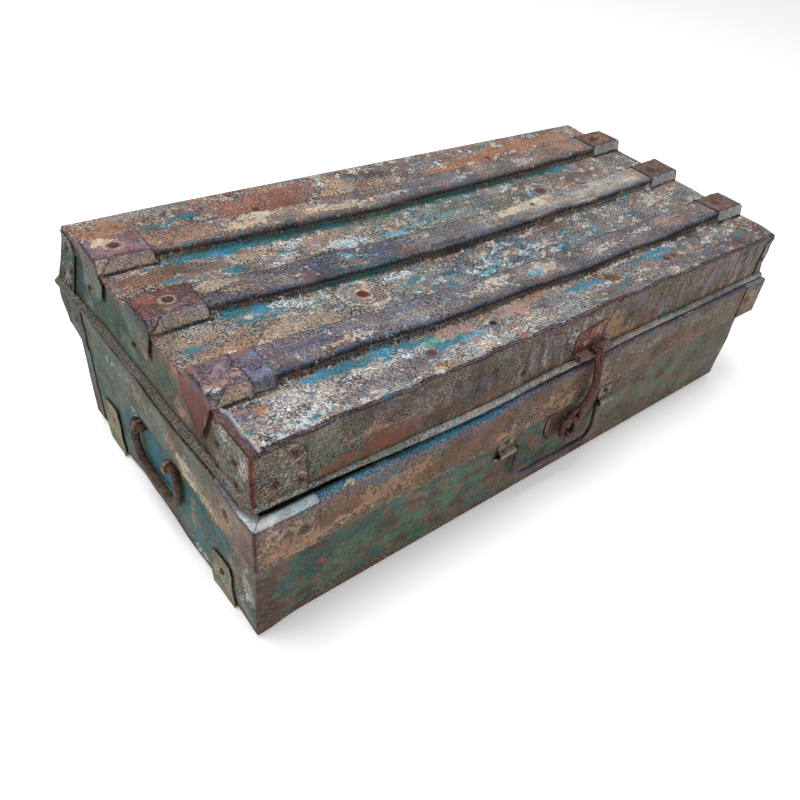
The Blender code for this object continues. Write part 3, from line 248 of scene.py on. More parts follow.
class Paint:
    """Colour attributes of a set of points, laid on in layers."""

    def __init__(self, points, coat, pale=0.4, dark=0.3):
        self.points = points
        count = len(points)
        self.coat = np.broadcast_to(np.asarray(coat, float), (count, 3)).copy()
        self.patch = self.coat.copy()
        self.mask = np.zeros(count)
        self.pale = np.full(count, float(pale))
        self.dark = np.full(count, float(dark))
        self.keep = np.ones(count)

    def tint(self, share, colour):
        """Mixes the coat towards a colour by a share of each point."""
        share = np.clip(share, 0, 1)[:, None]
        self.coat += (INKS[colour] - self.coat) * share

    def lay(self, mask, colour):
        """Lays a patch where its mask beats the masks laid before it."""
        wins = mask > self.mask
        self.patch[wins] = INKS[colour]
        self.keep[wins] = KEEP.get(colour, 0.45)
        self.mask = np.maximum(self.mask, mask)

    def blobs(self, across, upward, rows, seed, ragged=1.0):
        """Lays ovals given as (u, v, half width, half height, colour[, strength[, turn]]) with noisy edges.

        A mask is 1 in the oval and falls to 0 at 1.5 of its size, with u and v shifted by ragged times noise.
        """
        noise = partial(rough, self.points)
        u = across + ragged * (3.0 * noise(24, seed) + 1.6 * noise(7, seed + 5, 2))
        v = upward + ragged * (1.6 * noise(18, seed + 9) + noise(6, seed + 11, 2))
        for row in rows:
            cu, cv, wide, high, colour = row[:5]
            strength = row[5] if len(row) > 5 else 1.0
            turn = math.radians(row[6]) if len(row) > 6 else 0.0
            du, dv = u - cu, v - cv
            far = np.hypot((du * math.cos(turn) + dv * math.sin(turn)) / wide,
                           (dv * math.cos(turn) - du * math.sin(turn)) / high)
            self.lay(np.clip(1.5 - far, 0, 1) * strength, colour)

    def rings(self, across, upward, rows):
        """Draws rings given as (u, v, radius, width, colour[, strength]) on the coat and the patch."""
        for row in rows:
            cu, cv, radius, width, colour = row[:5]
            strength = row[5] if len(row) > 5 else 1.0
            far = np.hypot(across - cu, upward - cv)
            share = np.clip(1.4 - np.abs(far - radius) / width, 0, 1) * strength
            self.tint(share, colour)
            self.patch += (INKS[colour] - self.patch) * share[:, None]

    def spots(self, across, upward, rows):
        """Lays small sharp discs given as (u, v, radius, colour) with the coat and the patch both set."""
        for cu, cv, radius, colour in rows:
            far = np.hypot(across - cu, upward - cv)
            share = 1 - ease(far, radius * 0.75, radius * 1.15)
            self.tint(share, colour)
            self.patch += (INKS[colour] - self.patch) * share[:, None]
            self.pale *= 1 - share
            self.dark *= 1 - share


def gradient(place, stops):
    """Colours along a line: straight mixing between (place, colour name or sRGB triple) stops."""
    where = [stop[0] for stop in stops]
    tints = np.array([INKS[c] if isinstance(c, str) else linear(c) for _, c in stops])
    return np.stack([np.interp(place, where, tints[:, channel]) for channel in range(3)], axis=1)


TOP_COATS = {
    "back": ((-290, (134, 111, 95)), (-150, (128, 101, 87)), (0, (128, 118, 110)), (150, (141, 115, 95)),
             (290, (137, 117, 103))),
    "rib_back": ((-290, (140, 114, 100)), (-120, (138, 118, 106)), (0, (116, 110, 108)),
                 (290, (130, 118, 110))),
    "gutter_back": ((-290, (128, 108, 98)), (-120, (124, 122, 116)), (0, (114, 134, 134)),
                    (290, (118, 110, 98))),
    "rib_middle": ((-290, (86, 78, 86)), (-150, (62, 72, 96)), (60, (116, 118, 120)), (160, (172, 176, 174)),
                   (290, (158, 158, 152))),
    "gutter_front": ((-290, (126, 120, 108)), (-150, (114, 128, 128)), (0, (70, 98, 118)),
                     (120, (88, 112, 122)), (290, (128, 128, 120))),
    "rib_front": ((-290, (108, 92, 98)), (-150, (106, 109, 122)), (0, (108, 107, 114)),
                  (290, (110, 108, 110))),
    "front": ((-290, (156, 154, 152)), (-150, (146, 150, 152)), (0, (130, 138, 144)), (200, (110, 110, 112)),
              (290, (96, 94, 98))),
}

TOP_BLOBS = (
    # back strip
    (-275, 131, 26, 14, "tan", 0.8), (-239, 146, 42, 7, "grey", 0.7), (-236, 122, 16, 4, "turq"),
    (-208, 127, 14, 5, "turq"), (-252, 124, 8, 2.5, "turq", 0.9), (-140, 124, 62, 15, "redrust", 0.8),
    (-112, 136, 30, 6, "redrust", 0.8), (-61, 122, 24, 12, "beige", 0.8), (-8, 133, 18, 9, "dim", 0.75),
    (-30, 139, 14, 5, "dim", 0.7), (59, 138, 34, 8, "steel", 0.7), (123, 124, 46, 7, "orange", 0.85),
    (60, 116, 40, 6, "orange", 0.7), (195, 131, 50, 12, "orange", 0.75), (250, 126, 40, 14, "tan", 0.7),
    (-150, 117, 5, 3, "maroon"), (133, 120, 5, 3, "maroon"),
    # back rib
    (-183, 82, 20, 7, "cream"), (-160, 92, 24, 5, "cream", 0.8), (-86, 78, 24, 6, "cream", 0.9),
    (-110, 84, 16, 4, "cream", 0.7), (105, 80, 15, 1.8, "turq", 0.8, -14), (149, 84, 18, 8, "pale", 0.8),
    (207, 86, 40, 10, "tan", 0.6), (-240, 86, 30, 10, "tan", 0.5), (20, 84, 40, 8, "steel", 0.6),
    (-30, 80, 24, 4, "white", 0.55), (62, 82, 22, 3, "white", 0.5),
    # gutter behind the middle rib
    (-264, 66, 16, 2.5, "blue"), (-228, 66, 26, 5, "turq"), (-196, 66, 20, 5, "turq"),
    (-214, 62, 14, 3, "blue"), (-160, 66, 26, 5, "teal"), (-110, 66, 30, 4, "teal"),
    (-56, 65, 20, 4, "green"), (-20, 66, 18, 4, "teal"), (20, 66, 26, 4, "teal", 0.9),
    (60, 67, 22, 3.5, "teal", 0.9), (110, 66, 30, 3, "teal", 0.8), (160, 66, 20, 3, "teal"),
    (189, 64, 18, 4.5, "turq"), (-268, 50, 34, 12, "brown", 0.75), (-230, 46, 26, 9, "brown", 0.6),
    (-257, 38, 12, 2.2, "turq"), (-238, 34, 8, 1.8, "turq", 0.9), (-212, 36, 10, 4, "turq", 0.9),
    (-190, 50, 26, 9, "beige", 0.8), (-150, 56, 24, 5, "white", 0.7), (-127, 50, 34, 8, "pink", 0.7),
    (-112, 34, 34, 6, "white", 0.75), (-60, 44, 30, 8, "pale", 0.6), (-39, 34, 16, 3, "mint", 0.9),
    (-18, 40, 12, 3, "turq", 0.8), (6, 38, 14, 4, "mint", 0.8), (-66, 30, 16, 2.5, "sky", 0.8),
    (30, 44, 22, 5, "sage", 0.7), (80, 34, 46, 12, "olive", 0.6), (110, 48, 50, 6, "brown", 0.6),
    (196, 44, 50, 9, "brown", 0.6), (240, 40, 40, 10, "grey", 0.5), (150, 28, 30, 6, "tan", 0.6),
    # middle rib
    (-243, 6, 16, 8, "beige", 0.9), (-228, -4, 14, 5, "beige", 0.7), (-120, -2, 20, 1.8, "sky", 0.9, -22),
    (-132, 12, 12, 2, "sky", 0.7), (-161, -11, 5, 2, "rust"), (-86, -12, 10, 2.5, "rust", 0.9),
    (-176, -12, 6, 2, "rust", 0.8), (60, -11, 8, 2, "rust", 0.8), (72, 2, 34, 7, "cream"),
    (98, 8, 16, 5, "cream", 0.9), (46, -2, 14, 4, "cream", 0.8), (180, 0, 50, 9, "pale", 0.45),
    (250, 4, 24, 10, "tan", 0.5), (-60, 4, 22, 5, "grey", 0.6), (150, 6, 30, 5, "steel", 0.6),
    # gutter before the middle rib
    (-262, -20, 16, 3, "turq", 0.9), (-232, -20, 24, 4, "turq"), (-216, -26, 12, 5, "blue"),
    (-236, -32, 10, 3, "turq", 0.8), (-200, -24, 20, 5, "white", 0.9), (-184, -30, 20, 5, "white", 0.7),
    (-256, -50, 36, 13, "tan", 0.65), (-210, -52, 40, 10, "beige", 0.8), (-150, -18, 20, 3, "teal"),
    (-120, -17, 30, 3, "teal"), (-60, -18, 40, 3, "dim", 0.9), (-20, -19, 40, 3.5, "dark", 0.7),
    (30, -18, 26, 3, "teal", 0.8), (-100, -30, 26, 5, "white", 0.6), (-62, -46, 8, 4, "teal", 0.9),
    (-84, -58, 10, 3, "turq", 0.9), (-31, -60, 9, 2, "sky"), (-68, -64, 8, 2, "sky"),
    (-20, -40, 22, 8, "white", 0.5), (10, -34, 20, 4, "white", 0.6), (-8, -56, 10, 2.5, "mint", 0.9),
    (46, -48, 22, 7, "pale", 0.6), (91, -32, 40, 5, "brown", 0.75), (60, -24, 40, 3, "brown", 0.7),
    (185, -18, 7, 3, "turq"), (212, -18, 7, 2.5, "turq"), (185, -46, 8, 4, "turq", 0.7),
    (121, -52, 5, 2.5, "sky"), (64, -60, 6, 2.5, "sky"), (24, -62, 8, 2, "mint"),
    (150, -36, 34, 8, "grey", 0.5), (236, -40, 36, 12, "pale", 0.45), (-30, -28, 30, 4, "dim", 0.5),
    # front rib
    (-194, -96, 26, 5, "pale", 0.6), (-215, -86, 12, 4, "edge", 0.8), (-128, -92, 40, 5, "grey", 0.6),
    (-69, -92, 26, 5, "pale", 0.7), (-46, -86, 20, 4, "pale", 0.6), (7, -90, 15, 8, "pale", 0.95),
    (-8, -94, 5, 4, "sky", 0.9), (90, -93, 24, 5, "pale", 0.6), (52, -86, 16, 3, "white", 0.6),
    (140, -88, 26, 4, "white", 0.5), (-2, -74, 6, 2, "rust"), (-70, -75, 8, 2, "rust", 0.8),
    (200, -88, 26, 8, "tan", 0.5),
    # front flat
    (-226, -110, 22, 4, "blue", 0.9), (-198, -112, 22, 5, "turq", 0.9), (-176, -110, 16, 4, "blue"),
    (-150, -112, 20, 4, "turq", 0.8), (-206, -122, 16, 3, "white", 0.9), (-122, -124, 20, 3, "turq"),
    (-100, -126, 14, 2.5, "sky", 0.8), (-134, -118, 12, 4, "mint", 0.8), (-115, -114, 26, 5, "pink", 0.8),
    (-43, -116, 30, 7, "pink", 0.85), (-20, -112, 20, 4, "tan", 0.8), (-197, -138, 36, 6, "steel", 0.85),
    (-160, -132, 26, 5, "steel", 0.7), (-15, -124, 20, 7, "steel", 0.85), (0, -134, 14, 5, "grey", 0.7),
    (150, -136, 34, 5, "steel", 0.8), (196, -140, 34, 6, "steel", 0.85), (236, -140, 30, 7, "purple", 0.7),
    (141, -114, 22, 4, "blue"), (118, -116, 12, 3, "turq"), (132, -122, 12, 3, "blue", 0.9),
    (19, -120, 16, 4, "turq"), (38, -118, 12, 4, "blue", 0.9), (60, -112, 24, 4, "beige", 0.8),
    (-52, -130, 26, 7, "beige", 0.6), (94, -112, 26, 4, "pale", 0.7), (168, -110, 22, 4, "white", 0.7),
    (44, -138, 22, 5, "brown", 0.6), (24, -140, 14, 4, "mint", 0.5), (-259, -141, 34, 7, "white", 0.6),
    (-280, -116, 8, 10, "edge", 0.6), (-90, -139, 40, 5, "pale", 0.6), (170, -122, 14, 3, "orange", 0.6),
    (236, -118, 40, 8, "grey", 0.6), (-54, -104, 60, 2, "olive", 0.8), (20, -106, 60, 2, "dim", 0.8),
)

TOP_RINGS = (
    (130, 34, 15, 1.3, "pale"), (130, 34, 12, 1.2, "dim", 0.8), (122, 24, 13, 1.4, "sky", 0.6),
    (-144, -40, 22, 1.1, "dim", 0.8), (-144, -40, 15, 1.1, "olive", 0.8), (-144, -40, 18.5, 1.1, "pale", 0.6),
    (-144, -40, 9, 1.4, "brown", 0.7),
)

TOP_SPOTS = (
    (-144.5, -40, 5.5, "red"), (130, 34, 7, "maroon"), (-144.5, -128, 4.2, "maroon"),
    (-80, -123, 3.4, "dark"), (63, -122, 4, "maroon"), (141, -127, 4.5, "maroon"), (-150, 117, 3.6, "maroon"),
    (-81, 109, 3.5, "maroon"), (133, 120, 4, "maroon"), (84, 2, 3.2, "brown"), (66, -124, 6, "brown"),
)

FRONT_BLOBS = (
    (-244, 168, 14, 12, "sage", 0.8), (-258, 160, 14, 7, "sage", 0.7), (-236, 158, 20, 8, "rust", 0.8),
    (-200, 158, 30, 9, "rust", 0.8), (-216, 172, 18, 4, "tan", 0.8), (-184, 150, 26, 2.5, "olive", 0.9),
    (-215, 150, 12, 2.5, "green", 0.8), (-150, 160, 26, 7, "umber", 0.8), (-120, 175, 26, 8, "steel", 0.6),
    (-96, 160, 24, 6, "brown", 0.7), (-60, 172, 22, 10, "steel", 0.5), (-30, 155, 24, 4, "umber", 0.6),
    (66, 157, 16, 5, "ochre", 0.95), (50, 168, 12, 9, "ochre", 0.95), (40, 166, 12, 4, "tan", 0.8),
    (48, 178, 10, 10, "tan", 0.6), (74, 184, 12, 8, "steel", 0.8), (100, 160, 24, 7, "rust", 0.6),
    (149, 150, 34, 2.6, "green", 0.95), (120, 166, 20, 10, "steel", 0.6), (170, 158, 30, 7, "brown", 0.6),
    (200, 170, 24, 12, "purple", 0.5), (242, 187, 8, 3, "green", 0.8), (236, 160, 26, 9, "brown", 0.6),
    (-30, 192, 40, 4, "dim", 0.6), (10, 190, 22, 4, "beige", 0.5), (-180, 190, 50, 3, "dim", 0.6),
    (266, 172, 12, 16, "sage", 0.5), (-58, 170, 2.5, 14, "grey", 0.8), (-44, 172, 2, 12, "pale", 0.7),
    (-30, 176, 2.5, 12, "steel", 0.9), (-12, 176, 2, 12, "pale", 0.7), (-2, 170, 2.5, 14, "steel", 0.8),
    (-76, 172, 2, 12, "pale", 0.6), (6, 184, 2, 8, "beige", 0.7), (90, 176, 2, 12, "steel", 0.7),
)

BASE_FRONT_BLOBS = (
    (-264, 48, 26, 22, "pine", 0.75), (-232, 72, 32, 14, "pine", 0.8), (-232, 40, 24, 14, "moss", 0.9),
    (-203, 62, 22, 12, "green", 0.85), (-205, 80, 24, 8, "pine", 0.8), (-180, 44, 26, 9, "green", 0.7),
    (-240, 22, 26, 7, "green", 0.55), (-150, 60, 18, 10, "moss", 0.7), (-131, 52, 16, 9, "green", 0.9),
    (-110, 68, 20, 9, "green", 0.8), (-92, 52, 18, 10, "green", 0.9), (-80, 92, 26, 6, "green", 0.8),
    (-60, 86, 16, 8, "pine", 0.7), (-120, 88, 24, 7, "pine", 0.7), (-40, 60, 20, 12, "pine", 0.7),
    (-20, 44, 24, 6, "pine", 0.8), (18, 44, 16, 4, "green", 0.85), (40, 40, 20, 6, "moss", 0.7),
    (-160, 24, 50, 10, "umber", 0.8), (-90, 22, 50, 8, "brown", 0.7), (-66, 40, 16, 8, "brown", 0.7),
    (0, 18, 60, 8, "brown", 0.6), (90, 22, 60, 9, "brown", 0.6), (105, 62, 30, 12, "moss", 0.7),
    (150, 50, 40, 18, "moss", 0.6), (191, 14, 40, 5, "green", 0.5), (200, 60, 50, 24, "moss", 0.6),
    (130, 84, 40, 8, "pine", 0.4), (240, 40, 30, 24, "olive", 0.6), (-292, 46, 9, 44, "umber", 0.95),
    (-280, 60, 9, 18, "maroon", 0.6), (-240, 91, 20, 2.5, "rust", 0.7), (-190, 55, 10, 1.5, "rust", 0.7, 30),
    (-250, 56, 3, 12, "tan", 0.5), (60, 88, 30, 6, "brown", 0.6),
)

BAND_FRONT_BLOBS = (
    (-279, 112, 20, 7, "tan", 0.85), (-262, 110, 14, 5, "tan", 0.8), (-285, 132, 14, 8, "beige", 0.7),
    (-240, 122, 20, 8, "brown", 0.7), (-206, 121, 26, 8, "tan", 0.85), (-236, 112, 22, 4, "beige", 0.8),
    (-180, 126, 20, 6, "tan", 0.8), (-150, 118, 26, 7, "brown", 0.6), (-120, 124, 30, 8, "brown", 0.8),
    (-172, 137, 26, 2.5, "turq", 0.8), (-200, 138, 24, 2.5, "deep", 0.8), (-80, 112, 40, 5, "tan", 0.6),
    (-60, 130, 40, 7, "brown", 0.6), (-14, 118, 30, 8, "tan", 0.6), (34, 124, 12, 9, "beige", 0.7),
    (70, 116, 24, 6, "brown", 0.6), (100, 130, 30, 6, "grey", 0.6), (160, 118, 40, 10, "brown", 0.6),
    (190, 132, 44, 6, "grey", 0.6), (240, 116, 30, 8, "olive", 0.5), (286, 124, 14, 14, "tan", 0.7),
    (-110, 106, 60, 1.8, "green", 0.6), (20, 106, 60, 1.8, "sage", 0.5),
)

BAND_END_STOPS = ((-160, (112, 92, 84)), (-128, (136, 120, 102)), (-108, (128, 114, 96)), (-60, (92, 98, 88)),
                  (60, (76, 96, 84)), (160, (68, 80, 68)))

BAND_END_BLOBS = (
    (-62, 117, 14, 7, "cream", 0.95), (-82, 113, 16, 8, "beige", 0.95), (-70, 107, 18, 4, "cream", 0.9),
    (-46, 124, 8, 5, "tan", 0.85), (-98, 108, 10, 6, "beige", 0.85), (4, 124, 14, 5, "tan", 0.8),
    (60, 116, 24, 8, "sage", 0.8), (100, 120, 20, 8, "olive", 0.8), (-30, 112, 14, 6, "sage", 0.8),
    (-146, 118, 8, 12, "mauve", 0.8), (20, 132, 40, 3, "grey", 0.6), (60, 126, 16, 2, "white", 0.6),
    (140, 124, 16, 9, "green", 0.5),
)


def paint_top(paint, x, y, z):
    """The lid's top: a coat for each strip, painted highlights on the ribs' edges, painted shade on their
    cheeks and feet, and the flaked patches.
    """
    points = paint.points
    drift = y + 1.2 * waves(points, 40, 40)
    strips = (("front", -400, -105.5), ("rib_front", -105.5, -70.5), ("gutter_front", -70.5, -16.5),
              ("rib_middle", -16.5, 18.5), ("gutter_back", 18.5, 70.5), ("rib_back", 70.5, 105.5),
              ("back", 105.5, 400))
    wander = x + 26 * waves(points, 90, 41)
    for name, low, high in strips:
        inside = (y > low) & (y <= high)
        paint.coat[inside] = gradient(wander[inside], TOP_COATS[name])
    shade = 1 + 0.20 * rough(points, 46, 42)
    paint.coat *= (shade * (1 - 0.1 * (y > 105)))[:, None]
    tone = waves(points, 70, 43)
    paint.tint(ease(tone, 0.2, 1.0) * 0.35, "beige")
    paint.tint(ease(-tone, 0.2, 1.0) * 0.35, "steel")
    paint.pale[:] = 0.66 + 0.30 * rough(points, 44, 44)
    paint.dark[:] = 0.48 + 0.24 * rough(points, 36, 45)
    paint.pale *= 1 - 0.4 * ease(x, 90, 220) * (y < -118)
    rise = np.clip(z - LID_FLAT, 0, 10)
    cheeks, edge_lines = np.zeros(len(x), bool), np.zeros(len(x))
    for name, centre in RIBS.items():
        on_rib = (np.abs(y - centre) < TOP + 0.5) & (z > CREST - 1)
        paint.pale[on_rib] *= 0.62
        paint.dark[on_rib] *= 0.8
        # Each rib's front cheek takes a dark olive: partly its colour, partly painted shade.
        cheek = (y < centre - TOP + 0.3) & (y > centre - FOOT - 0.6) & (rise < 9.2)
        cheeks |= cheek
        paint.tint(cheek * 0.8, "foot")
        paint.pale[cheek] *= 0.45
        # Painted shade in the crease at the foot of the cheek.
        foot = np.exp(-((drift - (centre - FOOT - 1.5)) / 3.0) ** 2)
        paint.tint(foot * 0.35, "umber")
        paint.dark += foot * 0.2
        line = stripe(y - (centre + TOP - 0.4), 1.0) * (z > CREST - 2.5)
        crest = np.exp(-((drift - (centre - TOP + 4.2)) / 2.8) ** 2) * on_rib
        paint.tint(crest * 0.6, "purple")
        # A painted highlight along the crest's front edge, varying in strength along the rib, with painted
        # shade on the cheek just below it.
        highlight_strength = 0.75 + 0.35 * waves(points, 26, 47)
        lit = stripe(y + 0.3 * waves(points, 40, 48) - (centre - TOP + 0.4), 0.9, 0.9) * (rise > 7.6)
        shade = stripe(rise - 6.4, 1.0, 0.8) * cheek
        # Painted shade: black lines in the gaps along the caps' front and back edges.
        beside = ease(np.abs(x), 253, 255)
        gap = beside * stripe(y - (centre - FOOT - 2.2), 1.1 + 1.0 * ease(np.abs(x), 285, 298))
        gap += beside * stripe(y - (centre + FOOT + 1.6), 0.7) * 0.8
        lit_ink = "crest" if name == "back" else "edge"
        for share, ink, strength in ((line, "dark", 0.9), (lit * highlight_strength, lit_ink, 0.9), (shade, "dark", 0.8),
                                     (gap, "black", 0.97)):
            paint.tint(share * strength, ink)
            paint.pale *= 1 - np.clip(share, 0, 1) * 0.8
            edge_lines = np.maximum(edge_lines, share)
    level = np.where(cheeks, rise, 0) - sag(x, y)
    u, v = x + 1.06 * level, y + 0.69 * level
    paint.blobs(u, v, TOP_BLOBS, 50)
    crests = np.min([np.abs(y - centre) for centre in RIBS.values()], axis=0) < FOOT
    for seed, ink, low, strength in (
            (61, "pale", 0.5, 0.62), (65, "white", 0.6, 0.62), (63, "steel", 0.5, 0.6),
            (62, "tan", 0.6, 0.6), (66, "orange", 0.85, 0.62), (67, "turq", 0.95, 0.66)):
        spread = rough(points * (0.6, 1, 1), 15, seed)
        only_flat = 0.55 if ink in ("pale", "white", "steel") else 0.2
        paint.lay(ease(spread, low, low + 0.7) * strength * np.where(crests, only_flat, 1), ink)
    for seed, ink in ((71, "umber"), (72, "tan"), (73, "slate")):
        paint.tint(ease(rough(points * (0.6, 1, 1), 26, seed), 0.2, 1.3) * np.where(crests, 0.2, 0.5), ink)
    paint.rings(u + 1.5 * waves(points, 20, 51), v + 1.5 * waves(points, 20, 52), TOP_RINGS)
    paint.spots(u, v, TOP_SPOTS)
    paint.mask *= 1 - edge_lines * 0.8
    inside = y + LID_DEEP - 0.5 * waves(points, 30, 53)
    fold = 1 - ease(inside, 1.6, 2.4)
    paint.tint(fold * 0.9, "hem")
    paint.tint(stripe(inside - 1.8, 0.5, 0.7) * 0.9, "rim")
    paint.pale *= 1 - fold * 0.8
    paint.mask *= 1 - fold * 0.9
    ends = ease(np.abs(x) + 1.5 * waves(points, 20, 54), 290, 296)
    paint.tint(ends * 0.6 * (x < 0), "mauve")
    paint.mask *= 1 - ends * 0.5
    rim = ease(np.abs(x), 297.4, 298.2)
    near = (y < -106) & (x < 0)
    inner = x + 298 + 0.6 * waves(points, 16, 55)
    paint.tint(near * (1 - ease(inner, 3.4, 4.4)) * 0.85, "fold")
    paint.tint(near * stripe(inner - 5.2, 0.5, 0.6) * 0.8, "white")
    quiet = 1 - near * (1 - ease(inner, 5, 6.5)) * 0.8
    for amount in (paint.mask, paint.pale, paint.dark):
        amount *= quiet
    paint.tint(rim * 0.9, "rust")
    hem = ease(y, 149.6, 151.0)
    paint.tint(hem * 0.85, "red")
    paint.mask *= 1 - hem


def paint_wall(points, across, upward, stops, blobs, seed, streak=0.16, tone="olive", grain=0.78, ragged=1.3):
    """The paint of an upright face: a coat along it, streaks that run down it, and its patches."""
    paint = Paint(points, BARE)
    wander = across + 24 * waves(points, 80, seed)
    paint.coat[:] = gradient(wander, stops)
    drawn = np.stack([across, across * 0, upward * 0.16], axis=1)
    paint.coat *= (1 + streak * rough(drawn, 9, seed + 1) + 0.12 * rough(points, 40, seed + 2))[:, None]
    drift = rough(points, 60, seed + 3)
    paint.tint(ease(drift, 0.3, 1.2) * 0.4, tone)
    paint.tint(ease(-drift, 0.3, 1.2) * 0.4, "brown")
    paint.pale[:] = (0.36 + 0.22 * rough(points, 50, seed + 4)) * grain
    paint.dark[:] = (0.46 + 0.22 * rough(points, 45, seed + 5)) * grain
    paint.blobs(across, upward, blobs, seed + 6, ragged)
    return paint


def paint_lid(points):
    """The lid's wrap: its top, its front wall and its plain back wall."""
    x, y, z = points.T
    top = Paint(points, (0.2, 0.2, 0.2))
    paint_top(top, x, y, z)
    stops = ((-290, (98, 98, 90)), (-120, (104, 94, 86)), (60, (104, 92, 82)), (290, (108, 100, 90)))
    front = paint_wall(points, x, z, stops, FRONT_BLOBS, 70, 0.22)
    drawn = np.stack([x, x * 0, z * 0.1], axis=1)
    place = np.interp(x, (-110, -60, 20, 60, 130, 200, 290), (0, 1, 1, 0.2, 0.5, 1, 1))
    for seed, ink in ((76, "grey"), (77, "steel"), (78, "umber")):
        front.lay(ease(rough(drawn, 9, seed), 0.45, 1.0) * place * 0.72, ink)
    front.spots(x, z, ((-66, 163, 4.5, "maroon"), (-66, 163, 2.2, "black"), (70, 172, 3.5, "umber")))
    below = LID_FLAT - z - 0.5 * waves(points, 26, 75)
    front.tint((1 - ease(below, 0.8, 1.4)) * 0.85, "hem")
    front.tint(stripe(below - 1.7, 0.6, 0.7) * 0.9, "rim")
    front.mask *= ease(below, 3, 5)
    # Painted shade in the crease above the bead.
    front.tint(np.exp(-((z - 150.5) / 1.6) ** 2) * 0.5, "dark")
    on_front = (y < -LID_DEEP + 0.9) & (z < LID_FLAT - 0.7)
    on_back = (y > LID_DEEP - 0.9) & (z < LID_FLAT - 0.7)
    back = paint_wall(points, x, z, ((-290, (92, 100, 92)), (0, (98, 90, 80)), (290, (98, 96, 86))), (
        (-120, 170, 60, 14, "sage", 0.7), (60, 160, 50, 9, "brown", 0.7), (200, 180, 40, 9, "teal", 0.6),
        (-240, 160, 30, 14, "green", 0.7), (130, 180, 30, 8, "tan", 0.6)), 90)
    return blend_paint(top, ((on_front, front), (on_back, back)))


def blend_paint(first, others):
    """Takes the points of each mask from another layer set."""
    for where, other in others:
        for name in ("coat", "patch", "mask", "pale", "dark", "keep"):
            getattr(first, name)[where] = getattr(other, name)[where]
    return first


END_STOPS = ((-150, (100, 98, 84)), (-90, (98, 92, 76)), (-40, (84, 100, 84)), (60, (72, 94, 82)),
             (150, (64, 88, 78)))

LID_END_BLOBS = (
    (140, 180, 9, 16, "green", 0.8), (146, 160, 8, 8, "sage", 0.7), (126, 190, 8, 5, "tan", 0.7),
    (118, 178, 8, 8, "rust", 0.5), (112, 165, 12, 9, "teal", 0.7), (100, 158, 12, 6, "sage", 0.7),
    (70, 172, 10, 7, "teal", 0.9), (60, 182, 8, 5, "green", 0.8), (48, 190, 7, 4, "green", 0.8),
    (44, 170, 12, 6, "turq", 0.6), (26, 162, 16, 7, "sage", 0.8), (8, 172, 10, 8, "olive", 0.7),
    (14, 190, 6, 4, "green", 0.8), (-6, 180, 8, 8, "tan", 0.6), (-20, 190, 7, 5, "brown", 0.7),
    (-30, 170, 14, 9, "green", 0.7), (-54, 190, 12, 5, "orange", 0.8), (-52, 176, 8, 8, "olive", 0.8),
    (-60, 160, 14, 5, "tan", 0.6), (-82, 158, 10, 6, "umber", 0.6), (-108, 158, 8, 7, "tan", 0.6),
    (-106, 180, 5, 6, "orange", 0.7), (90, 190, 10, 3, "tan", 0.6),
)

BASE_END_BLOBS = (
    (19, 72, 8, 12, "turq", 0.95), (8, 58, 18, 20, "lagoon", 0.85), (-20, 54, 18, 20, "turq", 0.9),
    (26, 84, 4, 3, "turq", 0.9), (-41, 56, 10, 20, "lagoon", 0.85), (-51, 52, 3.5, 22, "tan", 0.95, 10),
    (-57, 30, 9, 12, "turq", 0.7), (62, 112, 20, 8, "teal", 0.9), (90, 92, 20, 10, "teal", 0.8),
    (80, 70, 22, 10, "sage", 0.9), (118, 90, 14, 16, "teal", 0.7), (60, 60, 14, 14, "teal", 0.7),
    (40, 96, 16, 8, "sage", 0.8), (4, 98, 14, 6, "tan", 0.7), (-20, 88, 16, 5, "tan", 0.8),
    (-38, 88, 9, 8, "beige", 0.8), (-132, 34, 2, 16, "white", 0.8), (-139, 50, 1.6, 20, "mint", 0.8),
    (-126, 24, 2, 10, "white", 0.7), (-40, 92, 12, 8, "sage", 0.8), (-64, 70, 16, 14, "teal", 0.9),
    (-84, 84, 10, 8, "tan", 0.8), (-96, 66, 14, 10, "teal", 0.8), (-84, 44, 16, 9, "turq", 0.5),
    (-60, 34, 14, 10, "sage", 0.7), (-116, 42, 7, 20, "tan", 0.8), (-124, 78, 10, 14, "tan", 0.7),
    (-136, 52, 8, 22, "beige", 0.7), (-142, 30, 5, 14, "teal", 0.9), (-140, 90, 8, 10, "mauve", 0.6),
    (136, 60, 6, 40, "rust", 0.6), (70, 20, 30, 6, "olive", 0.7), (0, 14, 40, 5, "brown", 0.7),
    (-60, 12, 20, 4, "white", 0.5), (50, 80, 4, 5, "white", 0.7),
)


# Slits in front of the caps' flaps, painted black as painted shade: heights, and how far before the rib's
# middle they lie
GAPS = {"back": ((172, 178, 193, 198), (16.5, 24.5, 26.5, 20.0)),
        "middle": ((172, 178, 193, 198), (14.0, 15.6, 19.2, 20.5)),
        "front": ((158, 170, 188, 199), (2.4, 8.2, 15.0, 18.0))}


def mirrored(rows, shift):
    """The same rows seen from the other end: v kept, u turned about and shifted, so that the ends differ."""
    return tuple((-row[0] + shift, *row[1:]) for row in rows)


